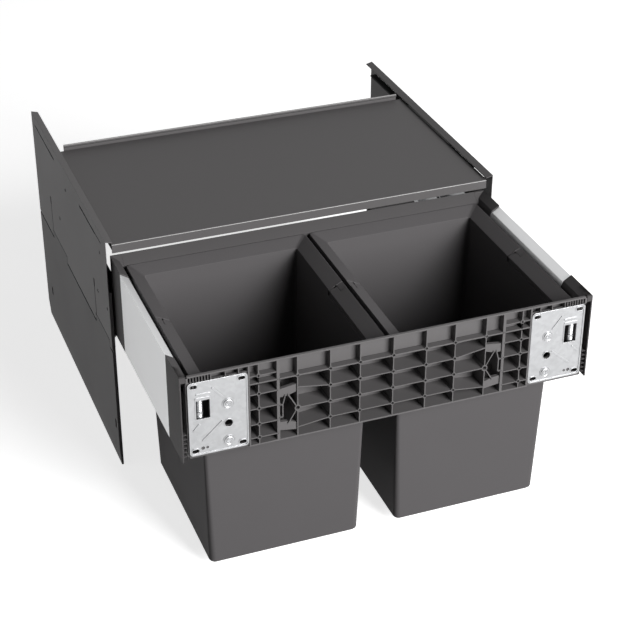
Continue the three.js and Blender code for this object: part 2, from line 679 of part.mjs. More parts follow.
function frontRail() {
  const half = railHalfWidth;
  const deepBack = railDepth - railWall;
  const topBack = railTopDepth + railWall;
  const wall = outline([
    [0, frameTop],
    [railLipDepth, frameTop],
    [topBack, frameTop - railSlantFall - 1],
    [topBack, ledgeTop],
    [railDepth - ledgeChamferRun, ledgeTop],
    [railDepth, ledgeTop - ledgeChamferFall],
    [railDepth, frameBottom],
    [0, frameBottom],
    [0, frameBottom + railWall],
    [deepBack, frameBottom + railWall],
    [deepBack, ledgeTop - ledgeThickness],
    [0, ledgeTop - ledgeThickness],
    [0, ledgeTop],
    [railTopDepth, ledgeTop],
    [railTopDepth, frameTop - railSlantFall],
    [railLipDepth - 1, frameTop - railWall],
    [0, frameTop - railWall],
  ]);
  const envelope = prismX(
    outline([
      [0, frameTop],
      [railLipDepth, frameTop],
      [topBack, frameTop - railSlantFall - 1],
      [topBack, ledgeTop],
      [railDepth - ledgeChamferRun, ledgeTop],
      [railDepth, ledgeTop - ledgeChamferFall],
      [railDepth, frameBottom],
      [0, frameBottom],
    ]),
    -half,
    half,
  );
  const ribs = [];
  const bosses = [];
  const holes = [];
  const row = (i) => ledgeTop - ledgeThickness / 2 - i * ribPitch;
  const upright = (x, thickness, z0, z1) =>
    box(x - thickness / 2, x + thickness / 2, 0, railDepth, z0, z1);
  const boss = (x, z, radius, hole) => {
    bosses.push(rodY(radius, 0, railDepth - 1, x, z, 6));
    holes.push(rodY(hole, -1, bossHoleDepth, x, z, 6));
  };
  const span = (a, b) => [a, b].sort((p, q) => p - q);
  for (let i = 1; i <= 3; i += 1) {
    const middleRow = box(-gridColumns[2], gridColumns[2], 0, railDepth, row(i) - railRib / 2, row(i) + railRib / 2);
    ribs.push(middleRow);
  }
  for (const side of [-1, 1]) {
    for (const x of gridColumns) {
      if (x === 0 && side < 0) continue;
      ribs.push(upright(side * x, railRib, frameBottom, frameTop));
      for (let i = 0; i <= 3; i += 1) boss(side * x, row(i), nodeBossRadius, nodeHoleRadius);
    }
    // bay with the large boss: the ribs bend towards the gussets, and two stays brace the boss
    const near = side * gridColumns[2];
    const bay = side * bayBossX;
    const main = side * mainRibX;
    const elbow = (bay + main) / 2;
    const bentRows = [row(1) + rowRise, row(3) - rowFall];
    ribs.push(faceRib([near, row(1)], [bay, bentRows[0]], railRib, railDepth));
    ribs.push(faceRib([near, row(2)], [bay, row(2)], railRib, railDepth));
    ribs.push(faceRib([near, row(3)], [bay, bentRows[1]], railRib, railDepth));
    ribs.push(upright(bay, railRib, frameBottom, frameTop));
    boss(bay, row(0), nodeBossRadius, nodeHoleRadius);
    boss(bay, row(2), bayBossRadius, bayHoleRadius);
    ribs.push(upright(main, mainRib, frameBottom, frameTop));
    bentRows.forEach((z, i) => {
      const inward = i === 0 ? -1 : 1;
      const gusset = gussetOutline.map(([share, rise]) => [bay + share * (main - bay), z + rise * inward]);
      ribs.push(prismY(outline(gusset), ...gussetSpan));
      ribs.push(faceRib([bay, row(2)], [elbow, z + stayRise * inward], railRib, railDepth));
    });
    const eyeX = main - side * eyeWidth;
    const eye = span(eyeX, main);
    const eyeRows = [row(2) - eyeHalfHeight, row(2) + eyeHalfHeight];
    ribs.push(upright(eyeX, railRib, ...eyeRows));
    for (const z of eyeRows) ribs.push(box(...eye, 0, railDepth, z - railRib / 2, z + railRib / 2));
    const stayFoot = [(eyeX + elbow) / 2, bentRows[0] - stayRise];
    ribs.push(faceRib([eyeX, eyeRows[1]], stayFoot, railRib, railDepth));
    // end zone beside the bracket
    const wallX = side * plateWallX;
    ribs.push(upright(side * endRibX, railRib, frameBottom, frameTop));
    ribs.push(upright(wallX, railWall, frameBottom, frameTop));
    for (const drop of endRowDrops) {
      const z = frameTop - drop;
      ribs.push(box(...span(main, wallX), 0, railDepth, z - railRib / 2, z + railRib / 2));
      boss(side * endRibX, z, nodeBossRadius, nodeHoleRadius);
    }
    // comb of teeth over the bracket, and two longer ribs
    const teeth = [...loneRibs];
    for (let i = 0; i < combTeeth; i += 1) teeth.push(combOffset + i * combPitch);
    for (const offset of teeth) {
      const x = side * (bracketX + offset);
      ribs.push(box(x - combRib / 2, x + combRib / 2, 0, railTopDepth, ledgeTop, frameTop));
    }
    // seat for the bracket
    const seat = span(wallX, side * half);
    const seatTop = bracketFoot + bracketHeight;
    ribs.push(box(...seat, bracketThickness, bracketThickness + railWall, frameBottom, seatTop));
    ribs.push(upright(side * (half - railWall / 2), railWall, frameBottom, frameTop));
    const screwX = side * (bracketX - bracketScrewX);
    ribs.push(upright(screwX, railWall, frameBottom, ledgeTop));
    for (const z of [...bracketScrewHeights, pilotHoleHeight]) {
      ribs.push(rodY(screwBossRadius, bracketThickness, screwBossDepth, screwX, bracketFoot + z, 12));
    }
  }
  const web = join(ribs).add(join(bosses)).intersect(envelope);
  const rail = prismX(wall, -half, half).add(web);
  for (const side of [-1, 1]) {
    // the bracket lies in a shallow recess of the rail's face
    const plate = span(side * (plateWallX + railWall / 2), side * (half + 1));
    const plateTop = bracketFoot + bracketHeight + gap;
    holes.push(box(...plate, -1, bracketThickness, frameBottom - 1, plateTop));
    const screwX = side * (bracketX - bracketScrewX);
    for (const z of bracketScrewHeights) {
      holes.push(rodY(screwShankRadius + gap, -1, screwBossDepth - 2, screwX, bracketFoot + z, 12));
    }
    holes.push(rodY(pilotBore, -1, screwBossDepth - 4, screwX, bracketFoot + pilotHoleHeight, 12));
    const windowX = side * (bracketX + windowInset);
    const window = span(windowX, windowX + side * windowWidth);
    const hollow = span(side * (plateWallX + seatMargin), screwX - side * (screwBossRadius + 1));
    const hollowTop = bracketFoot + bracketHeight - seatMargin * 4;
    holes.push(box(...hollow, 1, railDepth - 4, bracketFoot + seatMargin * 2, hollowTop));
    const lugRoom = lugThickness + gap;
    const windowZ = bracketFoot + windowFoot;
    const roomTop = windowZ + windowHeight + lugRoom;
    holes.push(box(...window, 1, railDepth - 4, windowZ - lugRoom, roomTop));
  }
  return cut(rail, holes);
}

// ---- front bracket, drawn on the right ----
function frontBracket() {
  const x0 = bracketX - bracketWidth / 2;
  const x1 = bracketX + bracketWidth / 2;
  const z1 = bracketFoot + bracketHeight;
  const plate = prismY(roundedOutline(x0, x1, bracketFoot, z1, bracketCorner), 0, bracketThickness, 2);
  const inset = bracketRim;
  const dish = prismY(
    roundedOutline(x0 + inset, x1 - inset, bracketFoot + inset, z1 - inset, bracketCorner - inset),
    -1,
    bracketRimDepth,
    2,
  );
  const raised = [];
  const tools = [];
  const through = bracketThickness + 1;
  const border = bracketBorder;
  const [slotIn, slotUp] = bracketSlotInset;
  for (const x of [x0 + slotIn, x1 - slotIn]) {
    for (const z of [bracketFoot + slotUp, z1 - slotUp]) {
      const r = bracketSlotWidth / 2;
      const w = bracketSlotLength / 2;
      const edge = roundedOutline(x - w - border, x + w + border, z - r - border, z + r + border, r + 1.4);
      raised.push(prismY(edge, 0, 1));
      tools.push(prismY(roundedOutline(x - w, x + w, z - r, z + r, r - 0.05), -1, through));
    }
  }
  const windowX = bracketX + windowInset;
  const windowEnd = windowX + windowWidth;
  const windowZ = bracketFoot + windowFoot;
  const windowTop = windowZ + windowHeight;
  const frame = roundedOutline(windowX - border, windowEnd + border, windowZ - border, windowTop + 4, 2);
  raised.push(prismY(frame, 0, 1));
  tools.push(box(windowX, windowEnd, -1, through, windowZ, windowTop));
  // lugs bent back from the window's top and bottom, which carry the adjusting screw
  const lugs = [];
  const axisX = windowEnd - adjusterInset;
  for (const foot of [windowZ - lugThickness, windowTop]) {
    const lug = box(
      axisX - lugWidth / 2,
      axisX + lugWidth / 2,
      bracketThickness - 1,
      adjusterDepth + lugWidth / 2,
      foot,
      foot + lugThickness,
    );
    const eye = rodZ(journalRadius + gap, foot - 1, foot + lugThickness + 1, axisX, adjusterDepth);
    lugs.push(lug.subtract(eye));
  }
  const screwX = bracketX - bracketScrewX;
  for (const z of bracketScrewHeights) {
    raised.push(rodY(screwHeadRadius + border, 0.3, 1, screwX, bracketFoot + z));
    tools.push(rodY(screwHeadRadius + gap, -1, screwHeadSeat, screwX, bracketFoot + z));
    tools.push(rodY(screwShankRadius + gap, -1, through, screwX, bracketFoot + z, 12));
  }
  tools.push(rodY(pilotHoleRadius, -1, through, screwX, bracketFoot + pilotHoleHeight));
  for (const [offset, radius] of twinHoles) {
    tools.push(rodY(radius, -1, through, bracketX + offset, bracketFoot + twinHoleHeight, 8));
  }
  const notch = footNotch.map((offset) => bracketX + offset);
  tools.push(box(...notch, -1, through, bracketFoot - 1, bracketFoot + footNotchHeight));
  // pressed stiffening ridges, drawn from the middle of the plate's foot
  for (const [from, to] of bracketRidges) {
    const start = [bracketX + from[0], bracketFoot + from[1]];
    const end = [bracketX + to[0], bracketFoot + to[1]];
    raised.push(faceRib(start, end, bracketRidge, 1));
  }
  const dished = cut(plate, [dish]);
  const flat = prismY(
    roundedOutline(x0 + 1, x1 - 1, bracketFoot + 1, z1 - 1, bracketCorner - 1),
    bracketRelief,
    bracketRimDepth + 0.5,
  );
  return join([cut(dished.add(join(raised).intersect(flat)), tools), ...lugs]);
}

function bracketScrew(z) {
  const x = bracketX - bracketScrewX;
  const middle = bracketFoot + z;
  const headFace = screwHeadSeat - screwHeadHeight;
  const head = rodY(screwHeadRadius, headFace, screwHeadSeat, x, middle);
  const [arm, width] = [screwCross[0] / 2, screwCross[1] / 2];
  const recess = join([
    box(x - arm, x + arm, headFace - 1, screwHeadSeat - 0.6, middle - width, middle + width),
    box(x - width, x + width, headFace - 1, screwHeadSeat - 0.6, middle - arm, middle + arm),
  ]);
  const shank = rodY(screwShankRadius, screwHeadSeat - 0.5, screwLength, x, middle, 12);
  return join([cut(head, [recess]), shank]);
}

function adjuster() {
  const x = bracketX + windowInset + windowWidth - adjusterInset;
  const foot = bracketFoot + windowFoot;
  const top = foot + windowHeight;
  return join([
    rodZ(adjusterRadius, foot + gap, top - gap, x, adjusterDepth),
    rodZ(adjusterRadius + adjusterCollar, foot + 5, foot + 8, x, adjusterDepth),
    rodZ(journalRadius, foot - lugThickness, top + lugThickness, x, adjusterDepth),
  ]);
}

// ---- bins: drawn round their own middle, with Z as in the cabinet ----
function ring(halfX, halfY, radius, z) {
  const steps = 3;
  const points = [];
  for (let corner = 0; corner < 4; corner += 1) {
    const cx = (corner === 0 || corner === 3 ? 1 : -1) * (halfX - radius);
    const cy = (corner < 2 ? 1 : -1) * (halfY - radius);
    for (let i = 0; i <= steps; i += 1) {
      const angle = ((corner + i / steps) * Math.PI) / 2;
      points.push([cx + radius * Math.cos(angle), cy + radius * Math.sin(angle), z]);
    }
  }
  return points;
}

// a ring set in from the rim's edge
function rimRing([inset, z]) {
  const radius = binRimRadius + ((binThroatRadius - binRimRadius) * inset) / binFunnelRun;
  return ring(rimHalfX - inset, rimHalfY - inset, radius, z);
}

// skin over a stack of rings; it closes on itself, or with a flat at each end
function skin(rings, closed) {
  const count = rings[0].length;
  const positions = rings.flat(2);
  const index = [];
  const spans = closed ? rings.length : rings.length - 1;
  for (let i = 0; i < spans; i += 1) {
    const a = i * count;
    const b = ((i + 1) % rings.length) * count;
    for (let j = 0; j < count; j += 1) {
      const k = (j + 1) % count;
      index.push(a + j, a + k, b + k, a + j, b + k, b + j);
    }
  }
  if (!closed) {
    const last = (rings.length - 1) * count;
    for (let j = 1; j < count - 1; j += 1) {
      index.push(0, j + 1, j);
      index.push(last, last + j, last + j + 1);
    }
  }
  const geometry = new THREE.BufferGeometry();
  geometry.setAttribute('position', new THREE.Float32BufferAttribute(positions, 3));
  geometry.setIndex(index);
  return toSolid(geometry);
}

function binBody(drop) {
  const wallInset = binFunnelRun - binWall;
  const underside = (inset) => funnel(inset) - drop - binWall;
  const baseX = rimHalfX - binTaperX;
  const baseY = rimHalfY - binTaperY;
  const edge = binBaseEdge;
  return skin(
    [
      ring(baseX - edge, baseY - edge, binBaseRadius - edge, binBase),
      ring(baseX, baseY, binBaseRadius, binBase + edge),
      rimRing([wallInset, underside(wallInset)]),
      rimRing([binWall, underside(binWall)]),
      rimRing([binWall, binSkirtFoot]),
      rimRing([0, binSkirtFoot]),
      rimRing([0, binRimTop - drop]),
      rimRing([binRimLand, binRimTop - drop]),
      rimRing([binFunnelRun, funnel(binFunnelRun) - drop]),
      ring(baseX - binWall, baseY - binWall, binBaseRadius - binWall, binBase + edge + 1),
      ring(baseX - binWall - edge, baseY - binWall - edge, 2, binBase + binWall),
    ],
    false,
  );
}

// solid ring under the funnel's surface, for the step in the rim and the handle's bosses
function rimFill(from, to, footDrop) {
  return skin(
    [
      rimRing([from, funnel(from) - footDrop]),
      rimRing([from, funnel(from)]),
      rimRing([to, funnel(to)]),
      rimRing([to, funnel(to) - footDrop]),
    ],
    true,
  );
}

const everywhere = 400; // reach of a cutting block, past every side of a bin

function bin() {
  const behind = box(-everywhere, everywhere, stepFace, everywhere, 0, everywhere);
  const before = box(-everywhere, everywhere, -everywhere, stepFace + binWall, 0, everywhere);
  const rear = binBody(0).intersect(behind);
  const front = binBody(binRimStep).intersect(before);
  const fill = rimFill(0, binFunnelRun, binRimStep + 1);
  const step = fill.intersect(box(-everywhere, everywhere, stepFace, stepFace + binWall, 0, everywhere));
  const pieces = [rear, front, step];
  for (const side of [-1, 1]) {
    const strip = [side * (rimHalfX - bailSplit), side * (rimHalfX + 1)].sort((a, b) => a - b);
    const root = box(...strip, 0, stepFace + 1, 0, everywhere);
    const nose = rodX(bailSwing, ...strip, 0, bailPivotHeight, 32);
    const boss = fill.intersect(root.add(nose.intersect(box(...strip, -everywhere, 1, 0, everywhere))));
    pieces.push(boss);
  }
  const pinHoles = [-1, 1].map((side) => {
    const span = [side * (rimHalfX - bailSplit - 1), side * (rimHalfX + 1)].sort((a, b) => a - b);
    return rodX(bailPin + gap, ...span, 0, bailPivotHeight);
  });
  return cut(join(pieces), pinHoles);
}

function bail() {
  const inner = binFunnelRun;
  const section = skin(
    [
      rimRing([gap, funnel(0) - binRimStep + gap]),
      rimRing([gap, binRimTop]),
      rimRing([binRimLand, binRimTop]),
      rimRing([inner, funnel(inner)]),
      rimRing([inner, funnel(inner) - bailInnerLip]),
      rimRing([inner - bailWall, funnel(inner) - bailInnerLip]),
      rimRing([inner - bailWall, funnel(inner - bailWall) - bailWall]),
      rimRing([bailWall + gap, funnel(bailWall + gap) - bailWall]),
      rimRing([bailWall + gap, funnel(0) - binRimStep + gap]),
    ],
    true,
  );
  const front = box(-everywhere, everywhere, -everywhere, 0, 0, everywhere);
  const armFill = rimFill(bailSplit + gap, inner, bailInnerLip);
  const armRoot = box(-everywhere, everywhere, -bailArmRoot, 0, 0, everywhere);
  const eye = rodX(bailEyeRadius, -everywhere, everywhere, 0, bailPivotHeight, 24);
  const arms = armFill.intersect(armRoot.add(eye));
  const pieces = [section.intersect(front), arms];
  const clear = [];
  for (const side of [-1, 1]) {
    const strip = [side * (rimHalfX - bailSplit - gap), side * (rimHalfX + 1)].sort((a, b) => a - b);
    clear.push(rodX(bailSwing + gap, ...strip, 0, bailPivotHeight, 32));
  }
  const pins = [-1, 1].map((side) => {
    const root = rimHalfX - bailSplit - bailPinRoot;
    const span = [side * root, side * (rimHalfX - 1)].sort((a, b) => a - b);
    return rodX(bailPin, ...span, 0, bailPivotHeight);
  });
  return join([cut(join(pieces), clear), ...pins]);
}

// ---- assembly ----
const unit = new THREE.Group();
const pulledOut = (share) => {
  const group = new THREE.Group();
  group.position.y = -pullOut * share;
  unit.add(group);
  return group;
};
const outerCages = pulledOut(0.25);
const middles = pulledOut(0.5);
const innerCages = pulledOut(0.75);
const frame = pulledOut(1);

addPair(unit, unit, 'upper_side_panel', upperPanel(), 'anthraciteSteel');
addPair(unit, unit, 'lower_side_panel', lowerPanel(), 'anthracitePlastic');
addPiece(unit, 'shelf', toGeometry(shelf()), 'anthraciteSteel');
addPair(unit, unit, 'cabinet_rail', cabinetRail(), 'runnerSteel');
const outerChannel = channel(runnerBack, runnerBack - outerLegs, outerHalf, runnerSteel);
addPair(unit, unit, 'runner_outer_channel', outerChannel, 'runnerSteel');
addPair(unit, unit, 'rail_screw_front', railScrew(railScrewRows[0]), 'zinc');
addPair(unit, unit, 'rail_screw_rear', railScrew(railScrewRows[1]), 'zinc');

const middleFace = runnerBack - middleBack;
const middleChannel = channel(middleFace, runnerBack - outerLegs, middleHalf, middleSteel);
addPair(middles, middles, 'runner_middle_channel', middleChannel, 'runnerSteel');
const outerCageWeb = runnerBack - runnerSteel - webGap;
const outerBallX = runnerBack - 6.2;
const outerCage = ballCage(outerCageWeb, outerBallX - 1.6, outerBallRow, outerBallX, outerBallRadius);
addPair(outerCages, outerCages, 'ball_cage_outer', outerCage, 'runnerSteel');
const innerCageWeb = middleFace - middleSteel - webGap;
const innerBallX = runnerBack - 7.6;
const innerCage = ballCage(innerCageWeb, innerBallX - 1.6, innerBallRow, innerBallX, innerBallRadius);
addPair(innerCages, innerCages, 'ball_cage_inner', innerCage, 'runnerSteel');

const innerChannel = channel(innerSkin, runnerBack - innerLegStart, innerHalf, runnerSteel);
addPair(frame, frame, 'runner_inner_channel', innerChannel, 'runnerSteel');
addPair(frame, frame, 'drawer_side', drawerSide(), 'silverSteel');
addPair(frame, frame, 'front_cap', frontCap(), 'anthracitePlastic');
addPair(frame, frame, 'rear_cap', rearCap(), 'anthracitePlastic');
addPiece(frame, 'front_rail', toGeometry(frontRail()), 'anthracitePlastic');
addPiece(frame, 'rear_rail', toGeometry(rearRail()), 'anthracitePlastic');
addPair(frame, frame, 'front_bracket', frontBracket(), 'zinc');
addPair(frame, frame, 'bracket_screw_lower', bracketScrew(bracketScrewHeights[0]), 'zinc');
addPair(frame, frame, 'bracket_screw_upper', bracketScrew(bracketScrewHeights[1]), 'zinc');
addPair(frame, frame, 'adjusting_screw', adjuster(), 'zinc');

const binGeometry = toGeometry(bin());
const bailGeometry = toGeometry(bail());
for (const [name, x] of [['left', -binX], ['right', binX]]) {
  const place = new THREE.Group();
  place.position.set(x, binFront + rimHalfY, 0);
  frame.add(place);
  addPiece(place, `bin_${name}`, binGeometry, 'binPlastic');
  addPiece(place, `bail_${name}`, bailGeometry, 'binPlastic');
}

export default unit;
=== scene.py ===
import json
import math

import bmesh
import bpy
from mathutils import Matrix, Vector
from mathutils.bvhtree import BVHTree


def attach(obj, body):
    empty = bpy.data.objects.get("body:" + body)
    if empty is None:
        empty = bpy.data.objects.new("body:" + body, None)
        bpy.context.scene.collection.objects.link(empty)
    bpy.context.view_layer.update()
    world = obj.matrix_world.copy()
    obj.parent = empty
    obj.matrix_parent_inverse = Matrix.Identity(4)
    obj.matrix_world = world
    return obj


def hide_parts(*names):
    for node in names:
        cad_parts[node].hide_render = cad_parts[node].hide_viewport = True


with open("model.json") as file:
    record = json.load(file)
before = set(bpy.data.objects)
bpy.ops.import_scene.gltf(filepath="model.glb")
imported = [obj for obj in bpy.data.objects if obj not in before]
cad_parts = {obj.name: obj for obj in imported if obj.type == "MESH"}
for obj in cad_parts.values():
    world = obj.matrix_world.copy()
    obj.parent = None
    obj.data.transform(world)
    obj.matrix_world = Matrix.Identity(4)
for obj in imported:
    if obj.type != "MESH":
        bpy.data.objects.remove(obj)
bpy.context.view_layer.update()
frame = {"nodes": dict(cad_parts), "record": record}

mm = 0.001
record = frame["record"]
bodyOfNode = {node: body for body, nodes in record["behaviour"]["bodies"].items() for node in nodes}
slotOfNode = {part["node"]: part["material_slot"] for part in record["subparts"]}


# camera, floor and light: metres and watts

viewpoint = {
    "place": (-0.68851, -1.84949, 1.37579),
    "backwards": (-0.30244, -0.80265, 0.51409),
    "lens": 94.23,
    "sensor": 36.0,
    "farthest": 100,
}

studio = {
    "floorColour": (0.86, 0.86, 0.86, 1),
    "floorBounce": (0.1, 0.1, 0.1, 1),
    "floorGlow": 0.74,
    "floorReach": 9,
    "floorDrop": 0.0006,
    "skyLight": 0.06,
    "keyWatts": 262,
    "keyPlace": (1.4, -3.3, 1.7),
    "keySize": 2.0,
    "fillWatts": 30,
    "fillPlace": (-6.0, 1.6, 0.9),
    "fillSize": 4.0,
    "lampAim": (0, -0.05, 0.15),
    "white": (1, 1, 1, 1),
}


def setCamera(look):
    data = bpy.data.cameras.new("camera")
    data.lens = look["lens"]
    data.sensor_width = look["sensor"]
    data.clip_end = look["farthest"]
    holder = bpy.data.objects.new("camera", data)
    holder.location = look["place"]
    holder.rotation_euler = Vector(look["backwards"]).to_track_quat("Z", "Y").to_euler()
    bpy.context.scene.collection.objects.link(holder)
    bpy.context.scene.camera = holder


def areaLamp(name, place, size, watts, aim):
    data = bpy.data.lights.new(name, "AREA")
    data.shape = "SQUARE"
    data.size = size
    data.energy = watts
    lamp = bpy.data.objects.new(name, data)
    lamp.location = place
    backwards = Vector(place) - Vector(aim)
    lamp.rotation_euler = backwards.to_track_quat("Z", "Y").to_euler()
    bpy.context.scene.collection.objects.link(lamp)


def addNode(tree, kind, inputs=None, **settings):
    node = tree.nodes.new(kind)
    for key, value in settings.items():
        setattr(node, key, value)
    for key, value in (inputs or {}).items():
        node.inputs[key].default_value = value
    return node


def emptyTree(holder):
    holder.use_nodes = True
    holder.node_tree.nodes.clear()
    return holder.node_tree


# gives 1 for a ray of either kind, else 0
def eitherRay(tree, path, one, two):
    either = addNode(tree, "ShaderNodeMath", operation="MAXIMUM")
    tree.links.new(path.outputs[one], either.inputs[0])
    tree.links.new(path.outputs[two], either.inputs[1])
    return either


# world: white where it is seen, mirrored or looked at through something, faint where it only lights the part
def setWorld(look):
    world = bpy.data.worlds.new("paleRoom")
    bpy.context.scene.world = world
    tree = emptyTree(world)
    path = addNode(tree, "ShaderNodeLightPath")
    seen = eitherRay(tree, path, "Is Camera Ray", "Is Glossy Ray")
    seenAtAll = addNode(tree, "ShaderNodeMath", operation="MAXIMUM")
    tree.links.new(seen.outputs[0], seenAtAll.inputs[0])
    tree.links.new(path.outputs["Is Transmission Ray"], seenAtAll.inputs[1])
    lighting = addNode(tree, "ShaderNodeBackground", {"Color": look["white"], "Strength": look["skyLight"]})
    shown = addNode(tree, "ShaderNodeBackground", {"Color": look["white"], "Strength": 1})
    mix = addNode(tree, "ShaderNodeMixShader")
    out = addNode(tree, "ShaderNodeOutputWorld")
    tree.links.new(seenAtAll.outputs[0], mix.inputs[0])
    tree.links.new(lighting.outputs[0], mix.inputs[1])
    tree.links.new(shown.outputs[0], mix.inputs[2])
    tree.links.new(mix.outputs[0], out.inputs[0])


# floor: a pale sheet that keeps the shadow, lifted to white where nothing shades it
def setFloor(look):
    mesh = bpy.data.meshes.new("floor")
    reach = look["floorReach"]
    corners = [(-reach, -reach, 0), (reach, -reach, 0), (reach, reach, 0), (-reach, reach, 0)]
    mesh.from_pydata(corners, [], [(0, 1, 2, 3)])
    floor = bpy.data.objects.new("floor", mesh)
    floor.location.z = -look["floorDrop"]
    bpy.context.scene.collection.objects.link(floor)
    material = bpy.data.materials.new("paleFloor")
    tree = emptyTree(material)
    path = addNode(tree, "ShaderNodeLightPath")
    paper = addNode(tree, "ShaderNodeBsdfDiffuse")
    shade = addNode(tree, "ShaderNodeMix", data_type="RGBA")
    shade.inputs["A"].default_value = look["floorBounce"]
    shade.inputs["B"].default_value = look["floorColour"]
    mirrored = eitherRay(tree, path, "Is Camera Ray", "Is Glossy Ray")
    tree.links.new(mirrored.outputs[0], shade.inputs["Factor"])
    tree.links.new(shade.outputs["Result"], paper.inputs["Color"])
    glow = addNode(tree, "ShaderNodeEmission", {"Color": look["white"]})
    level = addNode(tree, "ShaderNodeMath", operation="MULTIPLY")
    level.inputs[1].default_value = look["floorGlow"]
    both = addNode(tree, "ShaderNodeAddShader")
    out = addNode(tree, "ShaderNodeOutputMaterial")
    tree.links.new(mirrored.outputs[0], level.inputs[0])
    tree.links.new(level.outputs[0], glow.inputs["Strength"])
    tree.links.new(paper.outputs[0], both.inputs[0])
    tree.links.new(glow.outputs[0], both.inputs[1])
    tree.links.new(both.outputs[0], out.inputs[0])
    mesh.materials.append(material)


def setStudio(look):
    bpy.context.scene.view_settings.view_transform = "Standard"
    setWorld(look)
    setFloor(look)
    areaLamp("keyLamp", look["keyPlace"], look["keySize"], look["keyWatts"], look["lampAim"])
    areaLamp("fillLamp", look["fillPlace"], look["fillSize"], look["fillWatts"], look["lampAim"])


setCamera(viewpoint)
setStudio(studio)
print("camera, floor and light are set")


# finishes: colours are linear, peel is in metres

powderCoat = {
    "colour": (0.094, 0.09, 0.091), "rough": (0.46, 0.56),
    "peelPerMetre": 900, "peel": 0.00003, "specular": 0.14,
}
dullPlastic = {
    "colour": (0.066, 0.063, 0.064), "rough": (0.52, 0.64),
    "peelPerMetre": 2600, "peel": 0.00003, "specular": 0.08,
}
binPlastic = {
    "colour": (0.088, 0.084, 0.086), "rough": (0.5, 0.6),
    "peelPerMetre": 2200, "peel": 0.00002, "specular": 0.03,
}
railPlastic = {
    "colour": (0.094, 0.09, 0.091), "rough": (0.5, 0.62),
    "peelPerMetre": 2600, "peel": 0.00003, "specular": 0.3,
}
panelPlastic = {
    "colour": (0.08, 0.077, 0.078), "rough": (0.5, 0.62),
    "peelPerMetre": 2600, "peel": 0.00003, "specular": 0.14,
}
silverPaint = {
    "colour": (0.78, 0.785, 0.79), "rough": (0.34, 0.44),
    "peelPerMetre": 1400, "peel": 0.00001, "specular": 0.5, "metal": 0.6,
}
# painted highlight: a lighter grey put on the shelf's bends and on edges that lean forward and up, where
# light catches them
paintedBendHighlight = {
    "colour": (0.26, 0.255, 0.255), "rough": (0.3, 0.4),
    "peelPerMetre": 900, "peel": 0.00001, "specular": 0.5,
}
# painted shade: near black put on walls of slots, holes and joints, on the tongues in the slots and in the
# shelf's hollows, where little light gets in
paintedShade = {
    "colour": (0.012, 0.012, 0.012), "rough": (0.7, 0.8),
    "peelPerMetre": 900, "peel": 0.00001, "specular": 0.1,
}
coatGrain = {
    "cloudsPerMetre": 9, "cloudDetail": 4, "peelDetail": 2, "cloudShare": 0.65, "peelShare": 0.35,
    "darkest": 0.93, "lightest": 1.07, "bump": 0.35,
}


def shades(look, grain):
    return [(*[min(part * grain[end], 1) for part in look["colour"]], 1) for end in ("darkest", "lightest")]


def coated(name, look, grain=coatGrain):
    material = bpy.data.materials.new(name)
    material.use_nodes = True
    tree = material.node_tree
    shader = tree.nodes["Principled BSDF"]
    shader.inputs["Specular IOR Level"].default_value = look["specular"]
    shader.inputs["Metallic"].default_value = look.get("metal", 0)
    place = addNode(tree, "ShaderNodeTexCoord")
    cloudInputs = {"Scale": grain["cloudsPerMetre"], "Detail": grain["cloudDetail"]}
    cloud = addNode(tree, "ShaderNodeTexNoise", cloudInputs)
    peelInputs = {"Scale": look["peelPerMetre"], "Detail": grain["peelDetail"]}
    peel = addNode(tree, "ShaderNodeTexNoise", peelInputs)
    tree.links.new(place.outputs["Object"], cloud.inputs["Vector"])
    tree.links.new(place.outputs["Object"], peel.inputs["Vector"])
    tone = addNode(tree, "ShaderNodeMix", data_type="RGBA")
    tone.inputs["A"].default_value, tone.inputs["B"].default_value = shades(look, grain)
    speckle = addNode(tree, "ShaderNodeMath", operation="MULTIPLY_ADD")
    speckle.inputs[1].default_value = grain["peelShare"]
    tree.links.new(peel.outputs["Fac"], speckle.inputs[0])
    share = addNode(tree, "ShaderNodeMath", operation="MULTIPLY")
    share.inputs[1].default_value = grain["cloudShare"]
    tree.links.new(cloud.outputs["Fac"], share.inputs[0])
    tree.links.new(share.outputs[0], speckle.inputs[2])
    tree.links.new(speckle.outputs[0], tone.inputs["Factor"])
    tree.links.new(tone.outputs["Result"], shader.inputs["Base Color"])
    sheen = addNode(tree, "ShaderNodeMapRange", {"To Min": look["rough"][0], "To Max": look["rough"][1]})
    tree.links.new(speckle.outputs[0], sheen.inputs["Value"])
    tree.links.new(sheen.outputs["Result"], shader.inputs["Roughness"])
    bump = addNode(tree, "ShaderNodeBump", {"Strength": grain["bump"], "Distance": look["peel"]})
    tree.links.new(peel.outputs["Fac"], bump.inputs["Height"])
    tree.links.new(bump.outputs["Normal"], shader.inputs["Normal"])
    return material


bracketZinc = {"colour": (0.36, 0.363, 0.37), "rough": (0.24, 0.42), "crystal": 260, "along": (1, 1, 1)}
rolledSteel = {"colour": (0.3, 0.303, 0.31), "rough": (0.26, 0.4), "crystal": 120, "along": (9, 0.6, 9)}
metalGrain = {
    "cloudsPerMetre": 70, "cloudDetail": 5, "finePerMetre": 1800, "fineDetail": 2, "cloudShare": 0.55,
    "darkest": 0.9, "lightest": 1.1, "bump": 0.2, "bumpDepth": 0.00003,
}


